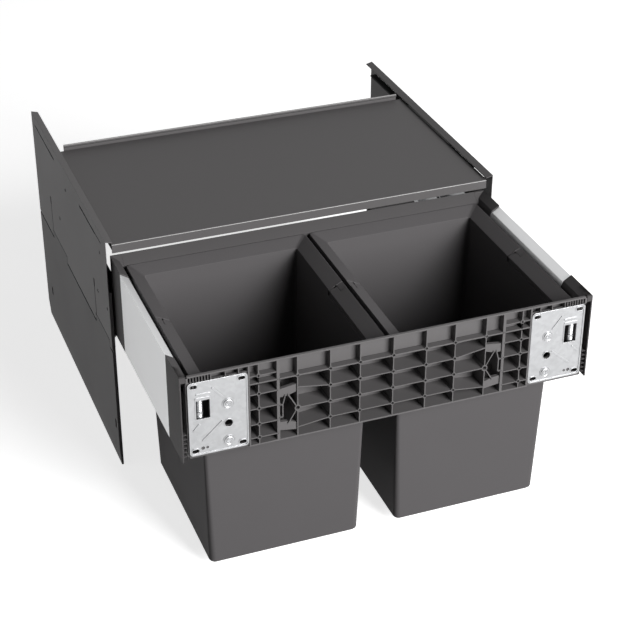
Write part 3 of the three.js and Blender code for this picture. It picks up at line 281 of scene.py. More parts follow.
def plated(name, look, grain=metalGrain):
    material = bpy.data.materials.new(name)
    material.use_nodes = True
    tree = material.node_tree
    shader = tree.nodes["Principled BSDF"]
    shader.inputs["Metallic"].default_value = 1
    place = addNode(tree, "ShaderNodeTexCoord")
    stretch = addNode(tree, "ShaderNodeMapping", {"Scale": look["along"]})
    tree.links.new(place.outputs["Object"], stretch.inputs["Vector"])
    crystal = addNode(tree, "ShaderNodeTexVoronoi", {"Scale": look["crystal"]})
    cloudInputs = {"Scale": grain["cloudsPerMetre"], "Detail": grain["cloudDetail"]}
    cloud = addNode(tree, "ShaderNodeTexNoise", cloudInputs)
    fineInputs = {"Scale": grain["finePerMetre"], "Detail": grain["fineDetail"]}
    fine = addNode(tree, "ShaderNodeTexNoise", fineInputs)
    for texture in (crystal, cloud, fine):
        tree.links.new(stretch.outputs["Vector"], texture.inputs["Vector"])
    flake = addNode(tree, "ShaderNodeSeparateColor")
    tree.links.new(crystal.outputs["Color"], flake.inputs["Color"])
    blend = addNode(tree, "ShaderNodeMix", {"Factor": grain["cloudShare"]})
    tree.links.new(flake.outputs["Red"], blend.inputs["A"])
    tree.links.new(cloud.outputs["Fac"], blend.inputs["B"])
    tone = addNode(tree, "ShaderNodeMix", data_type="RGBA")
    tone.inputs["A"].default_value, tone.inputs["B"].default_value = shades(look, grain)
    tree.links.new(blend.outputs["Result"], tone.inputs["Factor"])
    tree.links.new(tone.outputs["Result"], shader.inputs["Base Color"])
    sheen = addNode(tree, "ShaderNodeMapRange", {"To Min": look["rough"][0], "To Max": look["rough"][1]})
    tree.links.new(blend.outputs["Result"], sheen.inputs["Value"])
    tree.links.new(sheen.outputs["Result"], shader.inputs["Roughness"])
    bump = addNode(tree, "ShaderNodeBump", {"Strength": grain["bump"], "Distance": grain["bumpDepth"]})
    tree.links.new(fine.outputs["Fac"], bump.inputs["Height"])
    tree.links.new(bump.outputs["Normal"], shader.inputs["Normal"])
    return material


# the first six go by material slot, the next two by piece; the last two are painted light on the shelf and
# panels: a painted highlight on bends and painted shade in slots, joints and hollows
finishes = {
    "panel_steel": coated("powder_coated_steel", powderCoat),
    "dark_plastic": coated("dark_moulded_plastic", dullPlastic),
    "bin_plastic": coated("bin_plastic", binPlastic),
    "silver_steel": coated("silver_painted_steel", silverPaint),
    "zinc": plated("zinc", bracketZinc),
    "runner_steel": plated("rolled_runner_steel", rolledSteel),
    "front_rail": coated("ribbed_rail_plastic", railPlastic),
    "lower_side_panel": coated("lower_panel_plastic", panelPlastic),
    # painted highlight for the shelf's bends
    "bend": coated("painted_bend_highlight", paintedBendHighlight),
    # painted shade for slots, joints and hollows
    "cut": coated("painted_shade", paintedShade),
}
print("finishes are mixed")


# shaping tools: every piece below is drawn in millimetres, as it stands with the frame pulled out

tools = {
    "sharpFrom": 30, "easeSteps": 2, "profile": 0.5, "smoothTo": 40, "weld": 1e-6, "flatWithin": 0.6,
    "capsuleSteps": 6,
}


def nodeBox(node):
    holder = frame["nodes"][node]
    corners = [holder.matrix_world @ Vector(corner) for corner in holder.bound_box]
    low = [min(corner[i] for corner in corners) / mm for i in range(3)]
    high = [max(corner[i] for corner in corners) / mm for i in range(3)]
    return low, high


# edges that turn by more than an angle in degrees
def crispEdges(shape, sharpFrom):
    return [
        edge for edge in shape.edges
        if edge.is_manifold and edge.calc_face_angle(0) > math.radians(sharpFrom)
    ]


def roundEdges(shape, edges, radius, steps):
    bmesh.ops.bevel(
        shape, geom=edges, offset=radius * mm, segments=steps,
        profile=tools["profile"], affect="EDGES", clamp_overlap=False,
    )


def easeEdges(shape, radius, steps=tools["easeSteps"], sharpFrom=tools["sharpFrom"]):
    roundEdges(shape, crispEdges(shape, sharpFrom), radius, steps)


# adds a part to a shape
def pour(shape, part):
    mesh = bpy.data.meshes.new("poured")
    part.to_mesh(mesh)
    part.free()
    shape.from_mesh(mesh)
    bpy.data.meshes.remove(mesh)


# an outline drawn out along an axis
def addPrism(shape, outline, axis, low, high, ease=0.0):
    place = {
        "X": lambda a, b, t: (t, a, b),
        "Y": lambda a, b, t: (a, t, b),
        "Z": lambda a, b, t: (a, b, t),
    }[axis]
    part = bmesh.new()
    near = [part.verts.new(Vector(place(a, b, low)) * mm) for a, b in outline]
    far = [part.verts.new(Vector(place(a, b, high)) * mm) for a, b in outline]
    part.faces.new(near)
    part.faces.new(far[::-1])
    for i in range(len(near)):
        j = (i + 1) % len(near)
        part.faces.new((near[i], near[j], far[j], far[i]))
    bmesh.ops.recalc_face_normals(part, faces=part.faces)
    if ease:
        easeEdges(part, ease)
    pour(shape, part)


def addBar(shape, x, y, z, ease=0.0):
    (x0, x1), (z0, z1) = sorted(x), sorted(z)
    addPrism(shape, [(x0, z0), (x1, z0), (x1, z1), (x0, z1)], "Y", y[0], y[1], ease)


# a rib in the rail's face between two points, held back from each by a trim
def addRib(shape, start, end, thickness, y, trims, ease):
    run = Vector(end) - Vector(start)
    along = run.normalized()
    across = Vector((-along.y, along.x)) * thickness / 2
    a = Vector(start) + along * trims[0]
    b = Vector(end) - along * trims[1]
    addPrism(shape, [a - across, b - across, b + across, a + across], "Y", y[0], y[1], ease)


# a turned shape: its outline runs (radius, place along the axis)
def addTurned(shape, outline, axis, centre, steps):
    part = bmesh.new()
    rings = []
    for radius, along in outline:
        ring = []
        for i in range(steps if radius else 1):
            angle = 2 * math.pi * i / steps
            a, b = radius * math.cos(angle), radius * math.sin(angle)
            spot = {"Y": (a, along, b), "Z": (a, b, along)}[axis]
            ring.append(part.verts.new((Vector(spot) + Vector(centre)) * mm))
        rings.append(ring)
    for one, two in zip(rings, rings[1:]):
        for i in range(steps):
            j = (i + 1) % steps
            corners = [one[i % len(one)], one[j % len(one)], two[j % len(two)], two[i % len(two)]]
            unique = [corner for k, corner in enumerate(corners) if corner not in corners[:k]]
            if len(unique) > 2:
                part.faces.new(unique)
    bmesh.ops.recalc_face_normals(part, faces=part.faces)
    pour(shape, part)


# loops for cut sheets
def roundedLoop(x0, x1, z0, z1, radius, steps=6):
    loop = []
    for cx, cz, start in ((x1, z1, 0), (x0, z1, 90), (x0, z0, 180), (x1, z0, 270)):
        cx += -radius if cx == x1 else radius
        cz += -radius if cz == z1 else radius
        for i in range(steps + 1):
            angle = math.radians(start + 90 * i / steps)
            loop.append((cx + radius * math.cos(angle), cz + radius * math.sin(angle)))
    return loop


def roundLoop(x, z, radius, steps=24):
    angles = [2 * math.pi * i / steps for i in range(steps)]
    return [(x + radius * math.cos(angle), z + radius * math.sin(angle)) for angle in angles]


def capsuleLoop(start, end, width):
    run = Vector(end) - Vector(start)
    turn = math.atan2(run.y, run.x)
    steps = tools["capsuleSteps"]
    loop = []
    for spot, first in ((end, -90), (start, 90)):
        for i in range(steps + 1):
            angle = turn + math.radians(first + 180 * i / steps)
            loop.append((spot[0] + width / 2 * math.cos(angle), spot[1] + width / 2 * math.sin(angle)))
    return loop


# flat stock cut to loops: the first is the outside, the others are holes; its edges are rounded
def addSheet(shape, loops, plane, low, high, ease=0.0):
    curve = bpy.data.curves.new("cut", "CURVE")
    curve.dimensions = "2D"
    curve.fill_mode = "BOTH"
    curve.extrude = ((high - low) / 2 - ease) * mm
    curve.bevel_depth = ease * mm
    curve.bevel_resolution = 1
    curve.offset = -ease * mm
    for loop in loops:
        line = curve.splines.new("POLY")
        line.points.add(len(loop) - 1)
        for point, (a, b) in zip(line.points, loop):
            point.co = (a * mm, b * mm, 0, 1)
        line.use_cyclic_u = True
    holder = bpy.data.objects.new("cut", curve)
    bpy.context.scene.collection.objects.link(holder)
    graph = bpy.context.evaluated_depsgraph_get()
    mesh = bpy.data.meshes.new_from_object(holder.evaluated_get(graph))
    middle = (low + high) / 2 * mm
    place = {
        "Y": lambda spot: (spot.x, spot.z + middle, spot.y),
        "Z": lambda spot: (spot.x, spot.y, spot.z + middle),
    }[plane]
    part = bmesh.new()
    part.from_mesh(mesh)
    for corner in part.verts:
        corner.co = place(corner.co)
    bmesh.ops.remove_doubles(part, verts=part.verts, dist=tools["weld"])
    bmesh.ops.recalc_face_normals(part, faces=part.faces)
    pour(shape, part)
    bpy.data.objects.remove(holder)
    bpy.data.curves.remove(curve)
    bpy.data.meshes.remove(mesh)


def mirrorShape(shape):
    for corner in shape.verts:
        corner.co.x = -corner.co.x
    bmesh.ops.reverse_faces(shape, faces=shape.faces)


# the node's own solid, with flat faces in place of its triangles
def solidOf(node):
    source = frame["nodes"][node].data
    shape = bmesh.new()
    corners = [shape.verts.new(corner.co) for corner in source.vertices]
    for face in source.polygons:
        shape.faces.new([corners[i] for i in face.vertices])
    bmesh.ops.remove_doubles(shape, verts=shape.verts, dist=tools["weld"])
    flat = math.radians(tools["flatWithin"])
    bmesh.ops.dissolve_limit(shape, angle_limit=flat, verts=shape.verts, edges=shape.edges)
    return shape


def settle(piece):
    graph = bpy.context.evaluated_depsgraph_get()
    mesh = bpy.data.meshes.new_from_object(piece.evaluated_get(graph))
    piece.modifiers.clear()
    piece.data = mesh


def pieceFrom(shape, name, smoothTo=tools["smoothTo"]):
    mesh = bpy.data.meshes.new(name + "_shape")
    shape.to_mesh(mesh)
    shape.free()
    mesh.shade_smooth()
    mesh.set_sharp_from_angle(angle=math.radians(smoothTo))
    piece = bpy.data.objects.new(name + "_shape", mesh)
    bpy.context.scene.collection.objects.link(piece)
    weigh = piece.modifiers.new("evenShading", "WEIGHTED_NORMAL")
    weigh.keep_sharp = True
    settle(piece)
    return piece


# plain pieces: the solid's edges are eased, as a press, a mould or a tumbler leaves them

edgeRounds = {
    "panel_steel": {"radius": 0.35, "steps": 2},
    "dark_plastic": {"radius": 0.3, "steps": 2},
    "bin_plastic": {"radius": 0.6, "steps": 2},
    "silver_steel": {"radius": 0.5, "steps": 3},
    "zinc": {"radius": 0.2, "steps": 2},
    "runner_steel": {"radius": 0.25, "steps": 1},
    "sharpFrom": 32,
    "smoothTo": 50,
}


def easedSolid(node, look):
    shape = solidOf(node)
    easeEdges(shape, look["radius"], look["steps"], edgeRounds["sharpFrom"])
    return shape


def shapePlain(node):
    shape = easedSolid(node, edgeRounds[slotOfNode[node]])
    return pieceFrom(shape, node, edgeRounds["smoothTo"])


# front rail: a moulded grid of ribs with a blind hole where they cross
# sink is how far a rib or wall runs into what it joins; overlap, how far a rib runs into a boss

frontRail = {
    "wall": 2.2, "rib": 1.5, "topDepth": 10.2, "lipDepth": 3.7, "slantFall": 8.5, "slantWall": 1.0,
    "underSlant": 0.8, "underLip": 0.6, "sink": 1.0, "setBack": 0.2, "ease": 0.28,
    "ledgeDrop": 27.8, "ledge": 2.0, "ledgeChamfer": (4.4, 2.2),
    "rows": 4, "rowPitch": 23.5, "columns": (44, 83), "bayBoss": 125.5,
    "mainRib": 150.2, "mainThickness": 3.8, "endRib": 175,
    "rowRise": 6.6, "rowFall": 5.0, "endRows": (18.1, 44.3, 65.3, 87.8, 107.3), "upperRowSetBack": 0.5,
    "boss": 2.9, "bossHole": 1.75, "overlap": 0.35, "largeBoss": 4.2, "largeHole": 2.6, "largeOverlap": 0.4,
    "holeDepth": 9.0, "holeTaper": 0.85, "holeFlare": 0.25, "holeEdge": 0.3, "bossSink": 2, "bossSides": 14,
    "gusset": (2.0, 7.0), "gussetRises": (-4, 6.5, 10.5, 11.5, -0.5), "braceRise": 8,
    "eyeWidth": 5.6, "eyeHalf": 9.0, "eyeBraceDrop": 8,
    "teeth": (199.6, 216, *[234 + 3.6 * i for i in range(9)]), "tooth": 1.2, "toothEase": 0.2,
    "seatFrom": 188.2, "seatDepth": 2.2, "seatTop": 321.9, "seatCorner": 0.3,
    "window": (236.5, 253.5, 266.1, 297.1), "windowCorner": 0.6,
    "slotHole": (5.2, 2.9, 2.5), "slotSteps": 4,
    "screwX": 213.5, "pilot": 254.8, "pilotBore": 4.8, "pilotSides": 16,
    "farOff": 99, "smoothTo": 35,
}


def shapeFrontRail(look):
    low, high = nodeBox("front_rail")
    face, foot, top, half, deep = low[1], low[2], high[2], high[0], high[1] - low[1]
    wall, rib, ease, sink = look["wall"], look["rib"], look["ease"], look["sink"]
    ledge = top - look["ledgeDrop"]
    underLedge = ledge - look["ledge"]
    lipDepth, slant = look["lipDepth"], top - look["slantFall"]
    topDepth, topBack = look["topDepth"], look["topDepth"] + wall
    slantBack = (topBack, slant - look["slantWall"])
    chamferRun, chamferFall = look["ledgeChamfer"]
    seat, seatTop, seatFrom = look["seatDepth"], look["seatTop"], look["seatFrom"]
    ribBack = (topBack - sink, slant - look["underSlant"])
    underTop = top - look["underLip"]
    ribLip = (lipDepth - look["underLip"], underTop)
    holeEdge = look["holeEdge"]
    shape = bmesh.new()

    def run(outline, x0, x1, rounding=ease):
        addPrism(shape, [(face + y, z) for y, z in outline], "X", x0, x1, rounding)

    def between(y0, y1):
        return (face + y0, face + y1)

    outside = [
        (0, top), (lipDepth, top), slantBack, (topBack, ledge),
        (deep - chamferRun, ledge), (deep, ledge - chamferFall), (deep, foot),
    ]
    underTopWall = [(topDepth, ledge), (topDepth, slant), (lipDepth - sink, top - wall), (0, top - wall)]

    # walls: lip and slope above the ledge, deep wall below it
    def walls(start, ledgeStart):
        return [
            *outside, (start, foot), (start, foot + wall), (deep - wall, foot + wall),
            (deep - wall, underLedge), (ledgeStart, underLedge), (ledgeStart, ledge), *underTopWall,
        ]

    run(walls(0, look["holeDepth"]), -seatFrom, seatFrom)
    upper = [
        (look["setBack"], ledge - sink), (topBack - sink, ledge - sink), ribBack, ribLip,
        (look["setBack"], underTop),
    ]
    ribDepth = between(look["setBack"], deep - sink)
    rows = [ledge - look["ledge"] / 2 - i * look["rowPitch"] for i in range(look["rows"])]

    def upright(x, thickness, z0, z1):
        addBar(shape, (x - thickness / 2, x + thickness / 2), ribDepth, (z0, z1), ease)

    def upperRib(x, thickness):
        run(upper, x - thickness / 2, x + thickness / 2)

    def boss(x, z, outer, hole, back=deep - look["bossSink"]):
        depth = look["holeDepth"]
        addTurned(shape, [
            (0, depth), (hole * look["holeTaper"], depth), (hole, holeEdge), (hole + look["holeFlare"], 0),
            (outer - holeEdge, 0), (outer, holeEdge), (outer, back), (0, back),
        ], "Y", (x, face, z), look["bossSides"])

    trim = look["boss"] - look["overlap"]
    large = look["largeBoss"] - look["largeOverlap"]

    # an upright broken by bosses: each stretch stops inside the boss's wall
    def brokenUpright(x, bosses, z0, z1):
        marks = [z0 - look["farOff"]] + sorted(bosses) + [z1 + look["farOff"]]
        for one, two in zip(marks, marks[1:]):
            upright(x, rib, max(one + trim, z0), min(two - trim, z1))

    columns = [-x for x in reversed(look["columns"])] + [0] + list(look["columns"])
    for x in columns:
        brokenUpright(x, rows, foot + sink, ledge - sink)
        upperRib(x, rib)
        for z in rows:
            boss(x, z, look["boss"], look["bossHole"])
    for z in rows[1:]:
        for one, two in zip(columns, columns[1:]):
            addRib(shape, (one, z), (two, z), rib, ribDepth, (trim, trim), ease)
    ledgeFront = between(look["setBack"], look["holeDepth"] + sink)

    for side in (-1, 1):
        near, bay, main = (side * x for x in (look["columns"][1], look["bayBoss"], look["mainRib"]))
        elbow = (bay + main) / 2
        bent = (rows[1] + look["rowRise"], rows[3] - look["rowFall"])
        addRib(shape, (near, rows[1]), (bay, bent[0]), rib, ribDepth, (trim, 0), ease)
        addRib(shape, (near, rows[2]), (bay, rows[2]), rib, ribDepth, (trim, large), ease)
        addRib(shape, (near, rows[3]), (bay, bent[1]), rib, ribDepth, (trim, 0), ease)
        boss(bay, rows[0], look["boss"], look["bossHole"])
        boss(bay, rows[2], look["largeBoss"], look["largeHole"])
        upperRib(bay, rib)
        upright(bay, rib, rows[2] + large, rows[0] - trim)
        upright(bay, rib, foot + sink, rows[2] - large)
        upright(main, look["mainThickness"], foot + sink, ledge - sink)
        upperRib(main, look["mainThickness"])
        for z, inward in zip(bent, (-1, 1)):
            places = (bay, bay, elbow, main, main)
            gusset = [(x, z + rise * inward) for x, rise in zip(places, look["gussetRises"])]
            addPrism(shape, gusset, "Y", *between(*look["gusset"]), ease)
            braceEnd = (elbow, z + look["braceRise"] * inward)
            addRib(shape, (bay, rows[2]), braceEnd, rib, ribDepth, (large, 0), ease)
        eyeX = main - side * look["eyeWidth"]
        eyeRows = (rows[2] - look["eyeHalf"], rows[2] + look["eyeHalf"])
        upright(eyeX, rib, *eyeRows)
        for z in eyeRows:
            addBar(shape, (eyeX, main), ribDepth, (z - rib / 2, z + rib / 2), ease)
        eyeBraceEnd = ((eyeX + elbow) / 2, bent[0] - look["eyeBraceDrop"])
        addRib(shape, (eyeX, eyeRows[1]), eyeBraceEnd, rib, ribDepth, (0, 0), ease)

        # outer bay
        end, inner = side * look["endRib"], side * (seatFrom - wall / 2)
        endRows = [top - drop for drop in look["endRows"]]
        brokenUpright(end, [rows[0], *endRows], foot + sink, ledge - sink)
        upperRib(end, rib)
        upright(inner, wall, foot + sink, ledge - sink)
        upperRib(inner, wall)
        for z in endRows:
            back = topBack - sink if z > ledge else deep - look["bossSink"]
            boss(end, z, look["boss"], look["bossHole"], back)
            if z > ledge:
                continue
            addRib(shape, (main, z), (end, z), rib, ribDepth, (0, trim), ease)
            addRib(shape, (end, z), (inner, z), rib, ribDepth, (trim, 0), ease)
        upperRow = (endRows[0] - rib / 2, endRows[0] + rib / 2)
        addBar(shape, (main, inner), between(look["upperRowSetBack"], topBack - sink), upperRow, ease)
        addBar(shape, (main, inner), ledgeFront, (underLedge, ledge), ease)

        # seat of the bracket: the face steps back, with the comb above it
        run(walls(seat, seat), *sorted((side * seatFrom, side * half)))
        endWall = [*outside, (seat, foot), (seat, seatTop), (0, seatTop)]
        run(endWall, *sorted((side * half, side * (half - wall))))
        tooth = [
            (look["setBack"], seatTop), (seat, seatTop), (seat, ledge), (topBack - sink, ledge),
            ribBack, ribLip, (look["setBack"], underTop),
        ]
        for x in look["teeth"]:
            run(tooth, side * x - look["tooth"] / 2, side * x + look["tooth"] / 2, look["toothEase"])

        # wall behind the bracket, open behind its window, slots and pilot hole
        w0, w1, z0, z1 = look["window"]
        seatWall = [
            roundedLoop(seatFrom, half, foot, seatTop, look["seatCorner"], 1),
            roundedLoop(w0, w1, z0, z1, look["windowCorner"], 2),
        ]
        plateLow, plateHigh = nodeBox("front_bracket_right")
        insetX, insetZ = frontBracket["slotInset"]
        halfLength, halfWidth, corner = look["slotHole"]
        for x in (plateLow[0] + insetX, plateHigh[0] - insetX):
            for z in (plateLow[2] + insetZ, plateHigh[2] - insetZ):
                slot = (x - halfLength, x + halfLength, z - halfWidth, z + halfWidth)
                seatWall.append(roundedLoop(*slot, corner, look["slotSteps"]))
        seatWall.append(roundLoop(look["screwX"], look["pilot"], look["pilotBore"], look["pilotSides"]))
        seatWall = [[(side * x, z) for x, z in loop] for loop in seatWall]
        addSheet(shape, seatWall, "Y", *between(seat, seat + wall))

    # front edge of the ledge, between the bosses
    marks = [-look["mainRib"], -look["bayBoss"], *columns, look["bayBoss"], look["mainRib"]]
    for one, two in zip(marks, marks[1:]):
        a = one + (trim if abs(one) < look["mainRib"] else 0)
        b = two - (trim if abs(two) < look["mainRib"] else 0)
        addBar(shape, (a, b), ledgeFront, (underLedge, ledge), ease)
    return pieceFrom(shape, "front_rail", look["smoothTo"])


# front brackets: stamped zinc plate with a raised rim, borders round its slots, and pressed ridges
# heights are from the plate's foot, depths from its face and sinks from its back
# the left bracket is the right one's mirror image

frontBracket = {
    "thickness": 2.2, "corner": 5.0, "rim": 1.9, "rimSink": 0.3,
    "field": 1.0, "fieldEase": 0.15, "raised": 0.3, "ease": 0.4,
    "slot": (9.0, 4.6), "slotInset": (7.6, 6.4), "border": 1.5,
    "window": (236.5, 253.5, 52.0, 78.0), "windowCorner": 0.6, "hood": 4.4, "hoodCorner": 2,
    "screwX": 213.5, "screwRows": (12.4, 65.8), "screwSeat": 6.5, "screwBorder": 1.6, "screwBore": 2.8,
    "seatDepth": 0.75, "seatOverlap": 0.2, "seatEase": 0.1,
    "pilot": (38.2, 5.0), "pilotBorder": 1.1,
    "twinHoles": ((241.0, 9.0, 1.8), (246.6, 9.0, 2.4)), "twinSides": 12,
    "ridges": (
        ((219.5, 76), (232, 92)), ((221.5, 42), (246, 20)),
        ((236, 86.5), (252, 86.5)), ((250, 44), (257, 36)),
    ),
    "ridge": 3.0, "ridgeRise": 0.1, "ridgeSink": 0.5,
    "lug": (248.1, 5.0, 2.2), "lugReach": 12.0, "lugSink": 1, "lugCorner": 0.5,
}


def shapeBracket(node, look):
    low, high = nodeBox("front_bracket_right")
    x0, x1, foot, top, face = low[0], high[0], low[2], high[2], low[1]
    ease, rim, border, screwX = look["ease"], look["rim"], look["border"], look["screwX"]
    back = face + look["thickness"]
    raised = face + look["raised"]
    shape = bmesh.new()
    outside = roundedLoop(x0, x1, foot, top, look["corner"])
    inside = roundedLoop(x0 + rim, x1 - rim, foot + rim, top - rim, look["corner"] - rim)
    holes, borders = [], []

    # a hole with a raised border round it
    def cutWithBorder(hole, outline):
        holes.append(hole)
        borders.append((outline, hole))

    length, width = look["slot"]
    insetX, insetZ = look["slotInset"]
    reach = (length - width) / 2
    for x in (x0 + insetX, x1 - insetX):
        for z in (foot + insetZ, top - insetZ):
            ends = ((x - reach, z), (x + reach, z))
            cutWithBorder(capsuleLoop(*ends, width), capsuleLoop(*ends, width + border * 2))
    w0, w1, rise0, rise1 = look["window"]
    wz0, wz1 = foot + rise0, foot + rise1
    hood = roundedLoop(w0 - border, w1 + border, wz0 - border, wz1 + look["hood"], look["hoodCorner"], 3)
    cutWithBorder(roundedLoop(w0, w1, wz0, wz1, look["windowCorner"], 2), hood)
    pilotRise, pilotBore = look["pilot"]
    pilot = (screwX, foot + pilotRise)
    cutWithBorder(roundLoop(*pilot, pilotBore), roundLoop(*pilot, pilotBore + look["pilotBorder"]))
    for rise in look["screwRows"]:
        screw = (screwX, foot + rise)
        seatBorder = roundLoop(*screw, look["screwSeat"] + look["screwBorder"])
        cutWithBorder(roundLoop(*screw, look["screwSeat"]), seatBorder)
    for x, rise, radius in look["twinHoles"]:
        holes.append(roundLoop(x, foot + rise, radius, look["twinSides"]))
    addSheet(shape, [outside, *holes], "Y", face + look["field"], back, look["fieldEase"])
    addSheet(shape, [outside, inside], "Y", face, back - look["rimSink"], ease)
    for ring in borders:
        addSheet(shape, ring, "Y", raised, back - look["rimSink"], ease)
    for start, end in look["ridges"]:
        loop = capsuleLoop((start[0], foot + start[1]), (end[0], foot + end[1]), look["ridge"])
        addSheet(shape, [loop], "Y", raised - look["ridgeRise"], back - look["ridgeSink"], ease)
    # screw seats: the plate goes on under the heads
    for rise in look["screwRows"]:
        screw = (screwX, foot + rise)
        seatRim = roundLoop(*screw, look["screwSeat"] + look["seatOverlap"])
        seat = [seatRim, roundLoop(*screw, look["screwBore"])]
        addSheet(shape, seat, "Y", face + look["seatDepth"], back, look["seatEase"])
    # lugs above and below the window hold the adjusting screw
    axis, halfLug, thick = look["lug"]
    lug = (axis - halfLug, axis + halfLug, back - look["lugSink"], face + look["lugReach"])
    for z in (wz0 - thick, wz1):
        addSheet(shape, [roundedLoop(*lug, look["lugCorner"], 2)], "Z", z, z + thick, ease)
    if node.endswith("left"):
        mirrorShape(shape)
    return pieceFrom(shape, node)


# bracket screws: a low head in a ring, with a cross recess; depths are from the head's face

bracketScrew = {
    "head": 6.2, "height": 1.6, "headCorner": (0.5, 0.15), "headEdge": (0.05, 0.5), "headWall": 0.8,
    "shank": 2.4, "point": (0.5, 0.6), "cross": (4.6, 1.3), "sides": 32,
    "dish": 3.9, "dishRim": ((-0.4, 0.6), (0, 0.55), (0.8, 0.12), (1.1, 0)),
    "middleInset": 0.2, "middle": (0.2, 1.2), "middleEase": 0.15, "floor": (1.0, 1.4), "floorSides": 16,
}


def shapeBracketScrew(node, look):
    low, high = nodeBox(node)
    x, z, face = (low[0] + high[0]) / 2, (low[2] + high[2]) / 2, low[1]
    length = high[1] - face
    shape = bmesh.new()
    arm, half = look["cross"][0] / 2, look["cross"][1] / 2
    cross = [
        (-half, -arm), (half, -arm), (half, -half), (arm, -half), (arm, half), (half, half),
        (half, arm), (-half, arm), (-half, half), (-arm, half), (-arm, -half), (-half, -half),
    ]
    dish, head, shank = look["dish"], look["head"], look["shank"]
    cornerIn, cornerDepth = look["headCorner"]
    edgeIn, edgeDepth = look["headEdge"]
    pointIn, pointRun = look["point"]
    addTurned(shape, [
        *[(dish + out, depth) for out, depth in look["dishRim"]],
        (head - cornerIn, cornerDepth), (head - edgeIn, edgeDepth), (head, look["headWall"]),
        (head, look["height"]), (shank, look["height"]),
        (shank, length - pointRun), (shank - pointIn, length), (0, length),
    ], "Y", (x, face, z), look["sides"])
    rim = roundLoop(x, z, dish - look["middleInset"], look["sides"])
    middle = [rim, [(x + a, z + b) for a, b in cross]]
    middle0, middle1 = look["middle"]
    addSheet(shape, middle, "Y", face + middle0, face + middle1, look["middleEase"])
    floor0, floor1 = look["floor"]
    floor = [(0, floor0), (dish, floor0), (dish, floor1), (0, floor1)]
    addTurned(shape, floor, "Y", (x, face, z), look["floorSides"])
    return pieceFrom(shape, node)


# adjusting screws: threaded, turning in the two lugs; the collar is its radius and two heights from the foot

adjustingScrew = {
    "radius": 5.0, "depth": 0.8, "pitch": 2.3, "crest": 0.12, "gap": 0.3, "window": (268.6, 294.6),
    "collar": (5.1, 5.0, 8.6), "collarEdge": 0.3, "collarFoot": 0.1,
    "journal": 1.5, "journalEdge": 0.2, "sides": 28,
}


def shapeAdjuster(node, look):
    low, high = nodeBox(node)
    x, y = (low[0] + high[0]) / 2, (low[1] + high[1]) / 2
    foot, top = look["window"]
    start, end = foot + look["gap"], top - look["gap"]
    journal, edge = look["journal"], look["journalEdge"]
    outline = [(0, low[2]), (journal - edge, low[2]), (journal, low[2] + edge), (journal, start)]
    collar, c0, c1 = look["collar"]
    c0, c1 = foot + c0, foot + c1
    collarEdge, root = look["collarEdge"], look["radius"] - look["depth"]
    z = start
    while z < end - look["pitch"]:
        if c0 - look["pitch"] < z < c1:
            outline += [
                (root, c0 - look["collarFoot"]), (collar - collarEdge, c0), (collar, c0 + collarEdge),
                (collar, c1 - collarEdge), (collar - collarEdge, c1),
            ]
            z = c1
            continue
        middle = z + look["pitch"] / 2
        outline += [
            (root, z), (look["radius"], middle - look["crest"]), (look["radius"], middle + look["crest"]),
        ]
        z += look["pitch"]
    tip = high[2]
    outline += [(root, end), (journal, end), (journal, tip - edge), (journal - edge, tip), (0, tip)]
    shape = bmesh.new()
    addTurned(shape, outline, "Z", (x, y, 0), look["sides"])
    return pieceFrom(shape, node)


# shelf: one folded sheet with a fascia, side flanges, a hemmed rear lip and tongues in the panels' slots

shelfSheet = {
    "steel": 1.2, "fascia": 12.5, "sideGap": 9.5, "flange": 8.6, "flangeInset": (0.4, 0.3),
    "bend": 1.1, "bendTurn": 15, "bendSteps": 6, "leastBend": 0.2, "ease": 0.4, "smoothTo": 24,
    "lipInset": 8.0, "lipGap": 2.2, "lipRoot": 2, "hem": (4.4, 1.4), "hemOverlap": 0.1, "hemNeck": 0.4,
    "hemCorner": 1, "strip": (1, 6, 3.4, 2.4), "stripEase": 0.2,
    "tongues": ((58.3, 143.7), (300.0, 426.5)), "tongue": (0.3, 2.7), "slotDrop": 10.1, "reach": 0.75,
}


